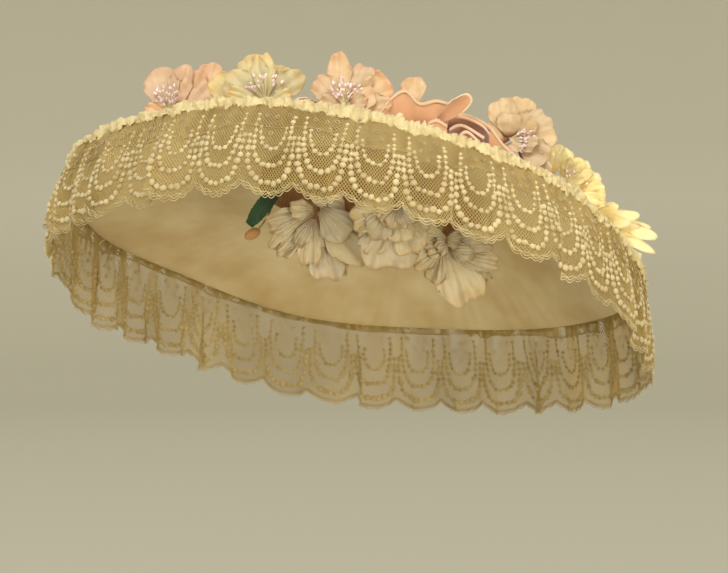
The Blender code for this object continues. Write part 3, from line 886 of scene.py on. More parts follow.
def silk_cloth(name, pale, deep, weave_mm=0.5):
    """Dull silk: two shades in soft patches, a fine slub weave and a little sheen."""
    made, tree, shader, place = dyed(name, pale, deep, 55, 0.72, 0.2)
    slubs = add_node(tree, "ShaderNodeTexNoise",
                     {"Vector": place, "Scale": 1000 / weave_mm, "Detail": 2.0})
    bumped(tree, shader, slubs.outputs["Fac"], 0.12, 0.5)
    return made


brim_silk = silk_cloth("gathered_silk", "#DFCDA8", "#C6AC7C")
reaches = np.linspace(0, 1, BRIM_ROWS)
azimuth = np.arange(BRIM_COLUMNS) * 360 / BRIM_COLUMNS
middle = np.array([brim_point(azimuth, r) for r in reaches])
normals = np.array([brim_normal(azimuth, r) for r in reaches])
wander = crumple(middle[-1], 30, 2)
folds = np.sin(2 * np.pi * BRIM_FOLDS * azimuth / 360 + 5 * wander)
fold_share = np.sin(np.pi * np.clip(reaches, 0.02, 1))[:, None] ** 0.5
above = BRIM_WALL / 2 + FOLD_HEIGHT * (folds[None, :] - 1) / 2 * fold_share
below = np.full_like(above, BRIM_WALL / 2)
for ring in WIRE_RINGS:
    below += WIRE_SHOW * np.exp(-(((reaches - ring) / WIRE_SPREAD) ** 2))[:, None]
strain = 1 + np.sin(95 * np.radians(azimuth) + 6 * wander)
below += 0.0006 * crumple(middle, 38, 4) + 0.0004 * strain * reaches[:, None]
top_rows = list(middle + normals * above[..., None])
under_rows = list(middle - normals * below[..., None])[::-1]
outward_level = unit(middle[-1] - middle[-2])
wire = [middle[-1] + outward_level * EDGE_WIRE * 0.8 + normals[-1] * h for h in (0.0008, 0.0, -0.0008)]
head_side = [middle[0] - outward_level * 0.0002]
loop = worn(np.array(top_rows + wire + under_rows + head_side))
brim_faces = grid_faces(len(loop), BRIM_COLUMNS, True)
last = (len(loop) - 1) * BRIM_COLUMNS
for c in range(BRIM_COLUMNS):
    d = (c + 1) % BRIM_COLUMNS
    brim_faces.append((last + c, c, d, last + d))
brim_mesh = mesh_from("brim_silk_cover", loop, brim_faces)
add_piece("brim_silk_cover", brim_mesh, brim_silk, "brim_silk", "brim")
print("brim faces:", len(brim_faces))

# %% [markdown]
# The crown is a soft low dome. Its silk is drawn into a covered button at the top and into the
# seam at the foot, so folds run down from both. A twisted band hides the seam.

# %% Crown
CROWN_HEIGHT = 0.045
CROWN_MARGIN = 0.004
CROWN_PROFILE = [(0.0, 1.0), (0.42, 0.985), (0.74, 0.90), (0.92, 0.72), (0.975, 0.45), (1.0, 0.0)]
CROWN_FOLDS = 46
CROWN_FOLD_DEPTH = 0.0011
CROWN_WALL = 0.0008
CROWN_COLUMNS = 276
CROWN_ROWS = 30
BAND_RADIUS = 0.0030
BAND_SWING = 0.0013
BAND_STRAND = 0.0022
BAND_TWISTS = 40
BAND_POINTS = 720
BUTTON_SIZE = (0.013, 0.013, 0.006, 1)


def ring_of(azimuth, margin, share):
    """The oval of the head opening, a margin wider and then scaled by a share."""
    return around(azimuth) * [(HEAD_HALF_WIDTH + margin) * share, (HEAD_HALF_LENGTH + margin) * share, 0]


crown_silk = silk_cloth("soft_silk", "#DBC799", "#C7AF7B")
outs, ups = np.array(CROWN_PROFILE).T
run = np.linspace(0.02, 1, CROWN_ROWS)
knots = np.linspace(0, 1, len(outs))
smooth_out = np.interp(run, knots, outs)
smooth_up = np.interp(run, knots, ups)
for _ in range(3):
    smooth_out[1:-1] = (smooth_out[:-2] + 2 * smooth_out[1:-1] + smooth_out[2:]) / 4
    smooth_up[1:-1] = (smooth_up[:-2] + 2 * smooth_up[1:-1] + smooth_up[2:]) / 4
azimuth = np.arange(CROWN_COLUMNS) * 360 / CROWN_COLUMNS
foot = BRIM_WALL / 2 + SEAM_GAP
crown_rows = []
for out, up, t in zip(smooth_out, smooth_up, run):
    wander = crumple(ring_of(azimuth, 0, 1), 25, t * 1.5)
    pleat = np.sin(2 * np.pi * CROWN_FOLDS * azimuth / 360 + 4 * wander)
    deep = CROWN_FOLD_DEPTH * (pleat - 1) / 2 * (0.35 + 0.65 * abs(2 * t - 0.9))
    row = ring_of(azimuth, CROWN_MARGIN, out) + [0, 0, foot + up * CROWN_HEIGHT]
    lean = unit(row * [0.4 * up, 0.4 * up, 0] + around(azimuth) * 0.02 + [0, 0, 0.05 * up])
    crown_rows.append(row + lean * (deep - 0.0004)[:, None])
crown_points = worn(np.array(crown_rows))
crown_faces = grid_faces(CROWN_ROWS, CROWN_COLUMNS, True)
crown_faces.append(tuple(range(CROWN_COLUMNS)))
crown_mesh = mesh_from("crown", crown_points, crown_faces)
solidify(add_piece("crown_silk_cover", crown_mesh, crown_silk, "crown_silk", "crown"), CROWN_WALL, -1.0)

band_turn = np.arange(BAND_POINTS) / BAND_POINTS
band_lines = []
for strand in range(3):
    twist = 2 * np.pi * (band_turn * BAND_TWISTS + strand / 3)
    ring = ring_of(360 * band_turn, CROWN_MARGIN + BAND_RADIUS + 0.0004, 1.0)
    ring = ring + around(360 * band_turn) * (BAND_SWING * np.cos(twist))[:, None]
    ring[:, 2] = foot + BAND_RADIUS + 0.0006 + BAND_SWING * np.sin(twist)
    band_lines.append(worn(ring))
add_threads("crown_band", band_lines, BAND_STRAND, 8, crown_silk, "crown_silk", closed=True)
PITCH = Matrix.Rotation(math.radians(PITCH_DEG), 4, "X")
button = ball_mesh("button", 20, 12)
button_place = Matrix.Translation((0, 0, foot + CROWN_HEIGHT + 0.0005))
button.transform(PITCH @ button_place @ Matrix.Diagonal(BUTTON_SIZE))
add_piece("crown_button", button, crown_silk, "crown_silk")
print("crown folds:", CROWN_FOLDS)

# %% [markdown]
# The bandeau is a crescent of stiffened net under the back of the brim. It shows only between
# the flowers that it carries, as a dull ribbed band with a wired edge. Its dark brown is painted
# shade: it stands for the shadow inside the hat, which shows through the holes of the lace.

# %% Bandeau
BANDEAU_DEPTH = 0.062
BANDEAU_MARGIN = 0.004
BANDEAU_MIDDLE_DEG = 207.0
BANDEAU_HALF_SPAN_DEG = 84.0
BANDEAU_END_SHARE = 0.12
BANDEAU_ROUNDNESS = 0.8
BANDEAU_COLUMNS = 220
BANDEAU_ROWS = 14
BANDEAU_RIBS = 60
BANDEAU_RIB = 0.00035
BANDEAU_WALL = 0.0014
BANDEAU_WIRE = 0.0013


def bandeau_point(azimuth, drop):
    """The bandeau's middle surface, level: drop 0 is sewn to the brim and 1 is the free edge."""
    azimuth, drop = np.broadcast_arrays(np.asarray(azimuth, float), np.asarray(drop, float))
    points = ring_of(azimuth, BANDEAU_MARGIN, 1.0)
    off = np.clip((azimuth - BANDEAU_MIDDLE_DEG) / BANDEAU_HALF_SPAN_DEG, -1, 1)
    crescent = np.abs(np.cos(off * np.pi / 2)) ** BANDEAU_ROUNDNESS
    depth = BANDEAU_DEPTH * (BANDEAU_END_SHARE + (1 - BANDEAU_END_SHARE) * crescent)
    fallen = BRIM_DROOP * (2 * BANDEAU_MARGIN / (RIM_HALF_LENGTH - HEAD_HALF_LENGTH)) ** BRIM_CURVE
    points[..., 2] = -BRIM_WALL / 2 - SEAM_GAP - fallen - depth * drop
    return points


# The net's dark brown is painted shade for the dim inside of the hat behind the lace.
shaded_stiff_net = silk_cloth("stiffened_net", "#AE824E", "#8A6236", 0.9)
azimuth = BANDEAU_MIDDLE_DEG + np.linspace(-1, 1, BANDEAU_COLUMNS) * BANDEAU_HALF_SPAN_DEG
ribs = BANDEAU_RIB * np.sin(np.linspace(0, 2 * np.pi * BANDEAU_RIBS, BANDEAU_COLUMNS))[:, None]
drops = np.linspace(0, 1, BANDEAU_ROWS)
bandeau_rows = [bandeau_point(azimuth, drop) + around(azimuth) * ribs for drop in drops]
bandeau_mesh = mesh_from("bandeau", worn(bandeau_rows), grid_faces(BANDEAU_ROWS, BANDEAU_COLUMNS))
solidify(add_piece("bandeau_cover", bandeau_mesh, shaded_stiff_net, "bandeau_net", "back_bandeau"), BANDEAU_WALL)
free_edge = worn(bandeau_point(azimuth, 1.0))
add_threads("bandeau_wire", [free_edge], BANDEAU_WIRE, 8, shaded_stiff_net, "bandeau_net")
print("bandeau ribs:", BANDEAU_RIBS)

# %% [markdown]
# ## Silk petals
# A milliner cuts petals from stiffened silk, paints them while damp, so that the colour fades
# from the heart to the edge, and presses each over a warm ball to cup it. Here a petal is a
# grid that follows the same steps: a flat outline, a bend along its spine, a cup across it, a
# ripple at the edge and a little crumpling. Each point keeps how far out it lies, how near
# the cut edge, which petal it is, and its place across, for the paint to read.

# %% Petal
EDGE_SOFTNESS = 2.9
LEAST_BEND = 0.5


def petal(length, width, slope, bend, seed, cup, ripple, waves, ribs=0, rib=0.0, blunt=0.34,
          claw=0.2, tip=0.0, crush=0.001, frill=0.02, grid=(13, 15)):
    """Points and paint values of one petal that grows along +X from the flower's axis +Z."""
    t = np.linspace(0, 1, grid[0])[:, None]
    s = np.linspace(-1, 1, grid[1])[None, :]
    reach = t - blunt * np.abs(s) ** EDGE_SOFTNESS * t**3 + tip * (1 - np.abs(s)) ** 1.5 * t**4
    ragged = np.cos((1.9 if ribs > 2 else 1.3) * np.pi * s + seed) + 0.5 * np.sin(3 * s + 3 * seed)
    reach = reach + frill * ragged * t**4
    half = width / 2 * (claw + (1 - claw) * np.sin(np.pi / 2 * np.minimum(t * 1.08, 1)) ** 1.25)
    half = half * (1 - 0.22 * s**4 * t**4)
    start, turn = math.radians(slope), math.radians(bend if abs(bend) > LEAST_BEND else LEAST_BEND)
    angle = start + turn * reach
    out = length * (np.sin(angle) - math.sin(start)) / turn
    up = length * (math.cos(start) - np.cos(angle)) / turn
    lift = cup * width * s**2 * t**0.8
    lift = lift + ripple * np.sin(waves * np.pi * s + 5 * seed + 1.5 * t) * t**2.2
    lift = lift + rib * np.cos(ribs * np.pi * s) * np.sin(np.pi * np.clip(t, 0, 0.93)) ** 0.6
    spots = np.stack([reach * length, half * s, np.full_like(reach, seed * 0.37)], axis=-1)
    lift = lift + crush * (crumple(spots, 75, seed) + 0.3 * crumple(spots, 230, seed + 3)) * t
    points = np.stack([out - np.sin(angle) * lift, half * s + 0 * t, up + np.cos(angle) * lift], axis=-1)
    edge = np.maximum(t, np.abs(s) * np.minimum(t * 1.6, 1))
    return points, painting(t + 0 * s, edge, seed % 1, s)


def painting(out, edge, petal_number, across):
    """What the paint reads at each point: across runs from -1 to 1 here."""
    values = np.broadcast_arrays(out, edge, np.float64(petal_number), across * 0.5 + 0.5)
    return np.stack(values, axis=-1)


def spun(points, degrees, stand=0.0, lift=0.0):
    """Petals set round the flower's axis."""
    turn = np.array(Matrix.Rotation(math.radians(degrees), 3, "Z"))
    return (points + [stand, 0, lift]) @ turn.T


class Sewing:
    """Collects cut pieces of cloth into one mesh with their paint values."""

    def __init__(self):
        self.points, self.paint, self.faces, self.count = [], [], [], 0

    def add(self, points, paint):
        rows, columns = points.shape[:2]
        self.faces += grid_faces(rows, columns, start=self.count)
        self.points.append(points.reshape(-1, 3))
        self.paint.append(paint.reshape(-1, 4))
        self.count += rows * columns

    def mesh(self, name, place):
        points = np.concatenate(self.points)
        matrix = np.array(place)
        mesh = mesh_from(name, points @ matrix[:3, :3].T + matrix[:3, 3], self.faces)
        values = np.concatenate(self.paint).ravel()
        mesh.attributes.new("petal", "FLOAT_COLOR", "POINT").data.foreach_set("color", values)
        return mesh


sample, _ = petal(0.03, 0.028, 30, -30, 0.0, 0.1, 0.001, 2.0)
print("petal grid:", sample.shape)

# %% [markdown]
# ## Paint and silk
# One silk, many dye pots. The paint follows the petal's own values: heart, body and edge
# colours along it, a thin line at the cut edge, fine veins across it, and a shift from petal
# to petal. Light passes through silk, so part of the shader is translucent.

# %% Petal silk
def petal_silk(name, heart, body, edge, line, glow=0.34, line_share=0.35, vein_share=0.12, veins=9.0,
               heart_end=0.34, roughness=0.68, sheen=0.25):
    """Painted silk, or velvet when it is rough and lets little light through."""
    made, tree, shader = painted(name, body, roughness)
    given = add_node(tree, "ShaderNodeAttribute", attribute_name="petal")
    parts = add_node(tree, "ShaderNodeSeparateColor", {"Color": given.outputs["Color"]}).outputs
    place = add_node(tree, "ShaderNodeTexCoord").outputs["Object"]
    cloud = add_node(tree, "ShaderNodeTexNoise", {"Vector": place, "Scale": 90.0, "Detail": 2.0})
    along = calc(tree, "ADD", calc(tree, "MULTIPLY_ADD", cloud.outputs["Fac"], 0.45, -0.22), parts["Red"])
    ramp = add_node(tree, "ShaderNodeValToRGB", {"Fac": along})
    stops = ramp.color_ramp.elements
    stops[0].color, stops[1].color = linear(heart), linear(edge)
    stops[0].position, stops[1].position = 0.05, 0.97
    for position in (heart_end, 0.72):
        stops.new(position).color = linear(body)
    shift = calc(tree, "MULTIPLY_ADD", parts["Blue"], 0.16, 0.92)
    toned = add_node(tree, "ShaderNodeHueSaturation",
                     {"Saturation": shift, "Value": shift, "Color": ramp.outputs["Color"]})
    cut = ranged(tree, parts["Green"], 0.93, 1.0, line_share)
    lined = mixed(tree, cut, toned.outputs["Color"], linear(line))
    wave = calc(tree, "COSINE", calc(tree, "MULTIPLY", given.outputs["Alpha"], veins * 2 * math.pi))
    veined = mixed(tree, ranged(tree, wave, 0.55, 1.0, vein_share), lined, linear(line))
    tree.links.new(veined, shader.inputs["Base Color"])
    slubs = add_node(tree, "ShaderNodeTexNoise", {"Vector": place, "Scale": 1400.0, "Detail": 2.0})
    ridge = calc(tree, "MULTIPLY_ADD", wave, 0.5, slubs.outputs["Fac"])
    bumped(tree, shader, ridge, 0.14, 0.5)
    shader.inputs["Sheen Weight"].default_value = sheen
    let_through(tree, shader, veined, glow)
    return made


SILKS = {
    "silk_pink": petal_silk("petal_silk_pink", "#DCA796", "#EED3AE", "#E9C6A0", "#DFA880"),
    "silk_cream": petal_silk("petal_silk_cream", "#C4C296", "#DFD5A8", "#E6D098", "#DABC76"),
    "silk_peach": petal_silk("petal_silk_peach", "#D8A28A", "#E7D0AA", "#E4C299", "#DAA478"),
    "silk_yellow": petal_silk("petal_silk_yellow", "#EEDEAC", "#FFF8D6", "#FFF8D6", "#EEDA98", 0.60),
    "silk_apple": petal_silk("petal_silk_apple", "#935A38", "#DFCAA4", "#DFCAA4", "#D4AA82"),
    "silk_antique": petal_silk("petal_silk_antique", "#BCA484", "#DFD3B6", "#DCC8A0", "#A07646", 0.20,
                               line_share=0.42, vein_share=0.03, veins=7.0),
}
print("silks:", sorted(SILKS))

# %% [markdown]
# ## Where the flowers sit
# The solids were made from the same places. A flower's stem stands square on the brim or the
# bandeau, and its head then leans the way it looks. A round head's petals are shorter on its
# low side, where they would touch the brim.

# %% Seats
STEMS = {"blossom": 0.017, "double": 0.017, "rose": 0.013, "daisy": 0.014, "pansy": 0.006}
DIAMETERS = {"blossom": 0.062, "double": 0.066}
SHORTER_BELOW = 0.18
Bloom = namedtuple("Bloom", "name form silk azimuth reach aim lean turn size")
WREATH = [
    Bloom("blossom_cream_front", "double", "silk_cream", 8, 0.50, 8, 50, 10, 0.92),
    Bloom("blossom_pink_front_left", "blossom", "silk_pink", 34, 0.50, 34, 52, 40, 1.00),
    Bloom("blossom_yellow_left", "double", "silk_yellow", 60, 0.48, 60, 52, 5, 0.94),
    Bloom("blossom_peach_left", "blossom", "silk_peach", 86, 0.48, 86, 52, 60, 1.02),
    Bloom("blossom_cream_left", "double", "silk_cream", 112, 0.48, 112, 52, 25, 0.94),
    Bloom("blossom_pink_back_left", "blossom", "silk_pink", 143, 0.55, 170, 56, 12, 1.04),
    Bloom("blossom_cream_back", "double", "silk_cream", 168, 0.48, 186, 56, 30, 1.08),
    Bloom("blossom_peach_back", "blossom", "silk_peach", 194, 0.46, 198, 54, 18, 1.08),
    Bloom("rose_velvet", "rose", "velvet_rose", 217, 0.46, 226, 54, 20, 1.00),
    Bloom("blossom_apple_right", "blossom", "silk_apple", 239, 0.57, 224, 56, 50, 1.04),
    Bloom("blossom_yellow_right", "double", "silk_yellow", 260, 0.58, 250, 52, 15, 0.90),
    Bloom("daisy_yellow", "daisy", "silk_yellow", 275, 0.77, 286, 58, 0, 1.00),
    Bloom("blossom_pink_right", "blossom", "silk_pink", 300, 0.52, 300, 52, 45, 1.00),
    Bloom("blossom_peach_front_right", "double", "silk_peach", 332, 0.50, 332, 50, 20, 0.94),
]
Cache = namedtuple("Cache", "name azimuth drop stand droop turn")
CACHE = [
    Cache("under_flower_left", 182, 0.70, 0.000, 16, 25),
    Cache("under_flower_middle", 209, 0.76, 0.016, 10, 5),
    Cache("under_flower_right", 238, 0.84, 0.000, 14, 48),
]
NET_FACE = 0.0012


def head_place(seat, normal, axis, stem, turn):
    """The matrix that takes a flower made about +Z to its place, and its low side in degrees."""
    neck = seat + normal * stem
    leaning = UP.rotation_difference(axis) @ Quaternion(UP, math.radians(turn))
    low_side = math.degrees(math.atan2(axis.y, axis.x)) - turn
    return PITCH @ Matrix.Translation(neck) @ leaning.to_matrix().to_4x4(), low_side


def wreath_place(row):
    """The seat, its normal, and the place of the head of a flower on the brim."""
    normal = Vector(brim_normal(row.azimuth, row.reach))
    seat = Vector(brim_point(row.azimuth, row.reach)) + normal * (BRIM_WALL / 2 + SEAM_GAP)
    side = Vector(around(float(row.aim))).cross(normal).normalized()
    axis = Quaternion(side, -math.radians(row.lean)) @ normal
    return seat, normal, *head_place(seat, normal, axis, STEMS[row.form], row.turn)


def cache_place(row):
    """The same for a flower on the bandeau."""
    normal = Vector(around(float(row.azimuth)))
    normal = Vector((normal.x / HEAD_HALF_WIDTH, normal.y / HEAD_HALF_LENGTH, 0)).normalized()
    seat = Vector(bandeau_point(row.azimuth, row.drop)) + normal * NET_FACE
    side = normal.cross(UP).normalized()
    axis = Quaternion(side, -math.radians(row.droop)) @ normal
    return seat, normal, *head_place(seat, normal, axis, STEMS["pansy"] + row.stand, row.turn)


print("flowers:", len(WREATH) + len(CACHE))

# %% [markdown]
# ## Flower heads
# The round heads, which the picture hides, are a few layers of petals. The table gives how many
# petals a layer has, their length and width as shares of the head's radius, how steeply they
# start and how far they bend back, and how they are cupped, rippled and crushed. A seeded
# generator makes each petal differ.

# %% Layers
Layer = namedtuple("Layer", "petals length width slope bend cup ripple waves crush start lift")
LAYERS = {
    "blossom": [
        Layer(5, 1.04, 1.22, 36, -34, 0.12, 0.0018, 2.0, 0.0040, 0, 0.000),
        Layer(5, 0.74, 0.86, 60, -40, 0.16, 0.0015, 1.8, 0.0034, 36, 0.002),
    ],
    "double": [
        Layer(6, 1.04, 1.16, 30, -26, 0.12, 0.0018, 2.2, 0.0040, 0, 0.000),
        Layer(5, 0.82, 0.90, 52, -34, 0.16, 0.0016, 2.0, 0.0036, 36, 0.002),
        Layer(4, 0.52, 0.62, 70, -40, 0.18, 0.0014, 1.6, 0.0030, 12, 0.003),
    ],
}
BLUNTNESS = {"blossom": 0.34, "double": 0.36}
SILK_WALL = 0.0004
HEART_RADIUS = 0.0022


def flower_head(form, size, low_side, seed):
    """All the petals of one round flower about +Z."""
    radius = DIAMETERS[form] * size / 2
    luck = np.random.default_rng(seed)
    head = Sewing()
    for layer in LAYERS[form]:
        for k in range(layer.petals):
            angle = layer.start + 360 * k / layer.petals + luck.normal(0, 5)
            fan = 1 - SHORTER_BELOW * math.cos(math.radians(angle - low_side))
            length = radius * layer.length * fan * luck.uniform(0.93, 1.05)
            width = radius * layer.width * luck.uniform(0.92, 1.08)
            slope, bend = layer.slope + luck.normal(0, 5), layer.bend + luck.normal(0, 8)
            points, paint = petal(
                length, width, slope, bend, float(luck.uniform(0, 10)), layer.cup, layer.ripple,
                layer.waves, blunt=BLUNTNESS[form], crush=layer.crush, frill=0.03)
            head.add(spun(points, angle, HEART_RADIUS, layer.lift + 0.0002 * k), paint)
    return head


print("layers:", {form: len(rows) for form, rows in LAYERS.items()})

# %% [markdown]
# The flowers that the picture shows are laid petal by petal. Every row is one petal in the
# plane of the picture: its angle clockwise from upright, length and width in millimetres, the
# place of its foot to the right of and above the flower's neck, how steeply it starts and bends
# back, and its layer. A head looks towards the camera, and up or down by the rise given. Its
# style says how the silk is cupped, rippled, ribbed and crushed, and how fine its grid is.

# %% Laid flowers
MM = 0.001
LAYER_STEP = 0.0012
LAID_CLAW = 0.22
Laid = namedtuple("Laid", "angle length width right up slope bend layer")
RISE = {
    "blossom_pink_back_left": 18,
    "blossom_cream_back": 18,
    "blossom_peach_back": 18,
    "blossom_apple_right": 15,
    "blossom_yellow_right": 15,
    "daisy_yellow": 12,
    "under_flower_left": -8,
    "under_flower_middle": -6,
    "under_flower_right": -6,
}
LAID = {
    "blossom_pink_back_left": [
        (-15, 31, 26, -15, 2, 30, -34, 0), (12, 33, 17, -10, 3, 26, -20, -1),
        (13, 31, 19, -1, 3, 30, -26, -2), (13, 32, 20, 10, 9, 24, -20, -3),
        (50, 29, 20, -2, 0, 40, -30, 1), (-79, 20, 12, -14, -1, 46, -34, 1),
    ],
    "blossom_cream_back": [
        (-60, 27, 24, -3, 1, 34, -26, 1), (-17, 32, 21, -0, 2, 26, -24, -1),
        (-3, 31, 18, 3, 2, 36, -46, 0), (53, 28, 21, 8, 1, 30, -26, 0),
        (-51, 27, 20, -14, -1, 24, -20, -2), (20, 25, 18, 8, 2, 20, -14, -2),
        (-83, 24, 11, -2, -1, 50, -34, 2), (81, 19, 13, 7, -2, 50, -30, 2),
    ],
    "blossom_peach_back": [
        (-52, 25, 20, -6, -1, 36, -30, 1), (-5, 31, 16, -5, 2, 26, -20, 0),
        (29, 27, 20, 0, 1, 24, -24, -1), (69, 31, 21, 2, 0, 28, -26, -2),
        (74, 21, 18, 1, -3, 44, -34, 1), (50, 25, 18, 5, 3, 20, -16, -3),
        (-84, 14, 13, -8, -3, 54, -34, 2), (96, 14, 14, 2, -4, 54, -30, 2),
        (-10, 19, 18, 47, -1, 20, -16, -4), (98, 26, 16, 6, -3, 34, -20, -1),
    ],
    "blossom_apple_right": [
        (-13, 28, 22, -3, 5, 30, -34, 0), (15, 28, 22, 1, 5, 26, -30, -1),
        (51, 26, 21, 5, 4, 30, -34, 0), (83, 24, 21, 6, 1, 34, -34, 0),
        (121, 24, 20, 5, -2, 40, -34, 0), (-34, 18, 18, -4, 2, 30, -34, -1),
        (-5, 17, 18, -2, 5, 50, -44, 1), (41, 18, 17, 3, 5, 52, -44, 1),
        (114, 16, 15, 5, 1, 54, -40, 1), (150, 17, 13, -4, -1, 60, -30, 2),
        (-145, 12, 14, -9, -1, 44, -24, 0), (143, 29, 20, 6, -4, 26, -20, -2),
    ],
    "blossom_yellow_right": [
        (-70, 14, 14, -12, 10, 30, -20, 0), (20, 20, 16, -10, 6, 40, -24, 1),
        (60, 24, 18, -4, -2, 34, -20, 0), (120, 20, 16, 6, -12, 40, -20, 1),
        (80, 22, 14, 8, -18, 30, -16, 0), (-20, 14, 12, -18, 14, 40, -20, 1),
        (-5, 17, 17, -3, 7, 24, -20, 0), (4, 20, 20, 7, -7, 26, -24, -1),
        (34, 18, 17, 10, -9, 28, -24, 0), (75, 12, 16, 13, -12, 30, -24, 0),
        (-33, 13, 16, -7, 7, 28, -24, 1), (77, 13, 14, 1, -1, 54, -40, 1),
        (24, 14, 14, 0, 1, 56, -40, 1), (133, 17, 14, -3, -4, 40, -24, 1),
        (150, 22, 20, -4, 0, 24, -20, -1), (-52, 25, 19, -8, 6, 22, -18, -2),
        (112, 24, 20, 2, -4, 24, -20, -1), (172, 20, 18, -10, 4, 26, -20, -1),
        (98, 20, 17, 9, -10, 36, -26, 2), (60, 15, 16, -4, 4, 44, -34, 2),
    ],
    "daisy_yellow": [
        (28, 20, 9, -20, 4, 30, -16, 0), (62, 24, 8, -18, 2, 36, -12, 1),
        (98, 30, 8, -14, 2, 18, -6, 2), (128, 22, 8, -14, -2, 40, -16, 3),
        (10, 16, 10, -24, 6, 36, -16, 1), (26, 18, 8, -16, 9, 20, -8, -1),
        (64, 17, 9, -14, 8, 26, -10, 0), (90, 28, 10, -11, 6, 24, -8, 0),
        (109, 41, 11, -10, 3, 22, -8, 0), (121, 44, 9, -10, 0, 26, -12, 1),
        (127, 29, 10, -10, -1, 34, -14, 1), (102, 25, 11, -11, 3, 44, -14, 2),
        (130, 24, 10, -13, 3, 50, -14, 2), (79, 19, 9, -14, 6, 48, -14, 2),
        (132, 17, 9, -16, 2, 56, -14, 3), (20, 13, 9, -17, 8, 44, -12, 1),
        (102, 32, 9, -8, 5, 12, -4, -2),
    ],
    "under_flower_left": [
        (-106, 34, 19, -4, -12, 20, -10, 0), (-130, 37, 17, -6, -14, 24, -14, 1),
        (-142, 38, 14, -6, -15, 26, -10, 0), (-147, 23, 11, -5, -17, 34, -10, 2),
        (-175, 33, 20, -5, -17, 30, -14, 2), (167, 44, 30, -2, -17, 22, -6, 1),
        (136, 50, 33, 1, -10, 30, -26, 3), (37, 7, 14, -3, -7, 30, -10, 3),
        (119, 21, 21, 0, -4, 34, -20, 1), (133, 29, 24, 1, -10, 44, -30, 4),
        (-85, 18, 14, -5, -10, 36, -10, 3), (151, 44, 16, -3, -15, 14, -4, 0),
    ],
    "under_flower_middle": [
        (-176, 40, 46, 6, -6, 20, -10, 0), (-149, 30, 24, 3, -7, 30, -24, 1),
        (155, 30, 28, 10, -7, 26, -22, 1), (105, 24, 21, 14, -6, 26, -14, 1),
        (-112, 26, 20, 1, -3, 36, -26, 2), (-94, 21, 17, 3, -1, 36, -26, 1),
        (-147, 24, 21, 4, -4, 44, -30, 3), (169, 22, 24, 10, -6, 46, -34, 3),
        (107, 15, 18, 13, -3, 46, -34, 3), (-149, 16, 17, 6, -3, 56, -30, 4),
        (-170, 16, 18, 10, -4, 58, -36, 5), (148, 18, 15, 11, -1, 58, -30, 4),
        (-80, 16, 14, 7, 0, 50, -24, 4),
    ],
    "under_flower_right": [
        (156, 42, 35, 4, -14, 16, -4, 1), (-161, 25, 18, 2, -16, 22, -10, 0),
        (-121, 26, 18, 2, -13, 26, -12, 1), (-71, 22, 14, 4, -8, 30, -14, 2),
        (103, 37, 17, 5, -16, 22, -6, 1), (85, 32, 17, 6, -10, 26, -10, 2),
        (80, 30, 15, 4, -6, 24, -10, 0), (-95, 15, 14, 3, -13, 40, -14, 3),
        (96, 22, 14, 6, -15, 44, -16, 3), (-124, 10, 14, 4, -10, 50, -24, 4),
        (96, 13, 13, 4, -7, 50, -24, 3), (126, 38, 17, 4, -16, 10, 0, 0),
    ],
}


def picture_place(neck, rise):
    """A frame at a flower's neck: +Z towards the viewer and up by rise, +Y up, +X right."""
    angle = math.radians(rise)
    axis = (toward_camera * math.cos(angle) + UP * math.sin(angle)).normalized()
    up = (UP - axis * UP.dot(axis)).normalized()
    turned = Matrix((up.cross(axis), up, axis)).transposed().to_4x4()
    return Matrix.Translation(neck) @ turned


Style = namedtuple("Style", "cup ripple waves ribs rib crush frill grid blunt tip")
BLOSSOM_STYLE = Style(0.12, 0.0016, 2.6, 0, 0.0, 0.0042, 0.030, (19, 21), 0.34, 0.0)
RIBBED_STYLE = Style(0.05, 0.0022, 3.0, 6, 0.0008, 0.0048, 0.040, (24, 33), 0.34, 0.0)
OTHER_STYLES = {
    "daisy_yellow": Style(0.20, 0.0006, 1.0, 2, 0.0005, 0.0018, 0.020, (15, 11), 0.52, 0.06),
    "blossom_yellow_right": Style(0.14, 0.0024, 3.6, 0, 0.0, 0.0056, 0.045, (19, 21), 0.34, 0.0),
}


def laid_head(name, seed, style):
    """A flower sewn from its table of petals."""
    luck = np.random.default_rng(seed)
    head = Sewing()
    for row in (Laid(*values) for values in LAID[name]):
        length = row.length * MM * luck.uniform(0.98, 1.06)
        width = row.width * MM * luck.uniform(1.10, 1.25)
        cup, waves = style.cup * luck.uniform(0.6, 1.3), style.waves * luck.uniform(0.8, 1.3)
        points, paint = petal(
            length, width, row.slope, row.bend, float(luck.uniform(0, 10)), cup, style.ripple, waves,
            style.ribs, style.rib, style.blunt, LAID_CLAW, style.tip, style.crush, style.frill,
            style.grid)
        foot = [row.right * MM, row.up * MM, row.layer * LAYER_STEP]
        head.add(spun(points, 90 - row.angle) + foot, paint)
    return head


def add_flower(row, silk, head, place):
    """One flower head, in place of its solid."""
    mesh = head.mesh(row.name, place)
    solidify(add_piece(row.name + "_petals", mesh, SILKS[silk], silk, row.name), SILK_WALL)


def stem_line(seat, normal, length):
    """A stem from its seat to the neck of its flower."""
    return [PITCH @ (seat + normal * share * length) for share in (0.0, 0.35, 0.7, 1.0)]


stem_lines, necks = [], {}
for number, row in enumerate(WREATH):
    seat, normal, place, low_side = wreath_place(row)
    stem_lines.append(stem_line(seat, normal, STEMS[row.form]))
    necks[row.name] = place.translation.copy()
    if row.name in LAID:
        head = laid_head(row.name, 120 + number, OTHER_STYLES.get(row.name, BLOSSOM_STYLE))
        add_flower(row, row.silk, head, picture_place(necks[row.name], RISE[row.name]))
    elif row.form in LAYERS:
        add_flower(row, row.silk, flower_head(row.form, row.size, low_side, 100 + number), place)
for number, row in enumerate(CACHE):
    seat, normal, place, _ = cache_place(row)
    stem_lines.append(stem_line(seat, normal, STEMS["pansy"] + row.stand))
    necks[row.name] = place.translation.copy()
    head = laid_head(row.name, 220 + number, RIBBED_STYLE)
    add_flower(row, "silk_antique", head, picture_place(necks[row.name], RISE[row.name]))
print("stems:", len(stem_lines))
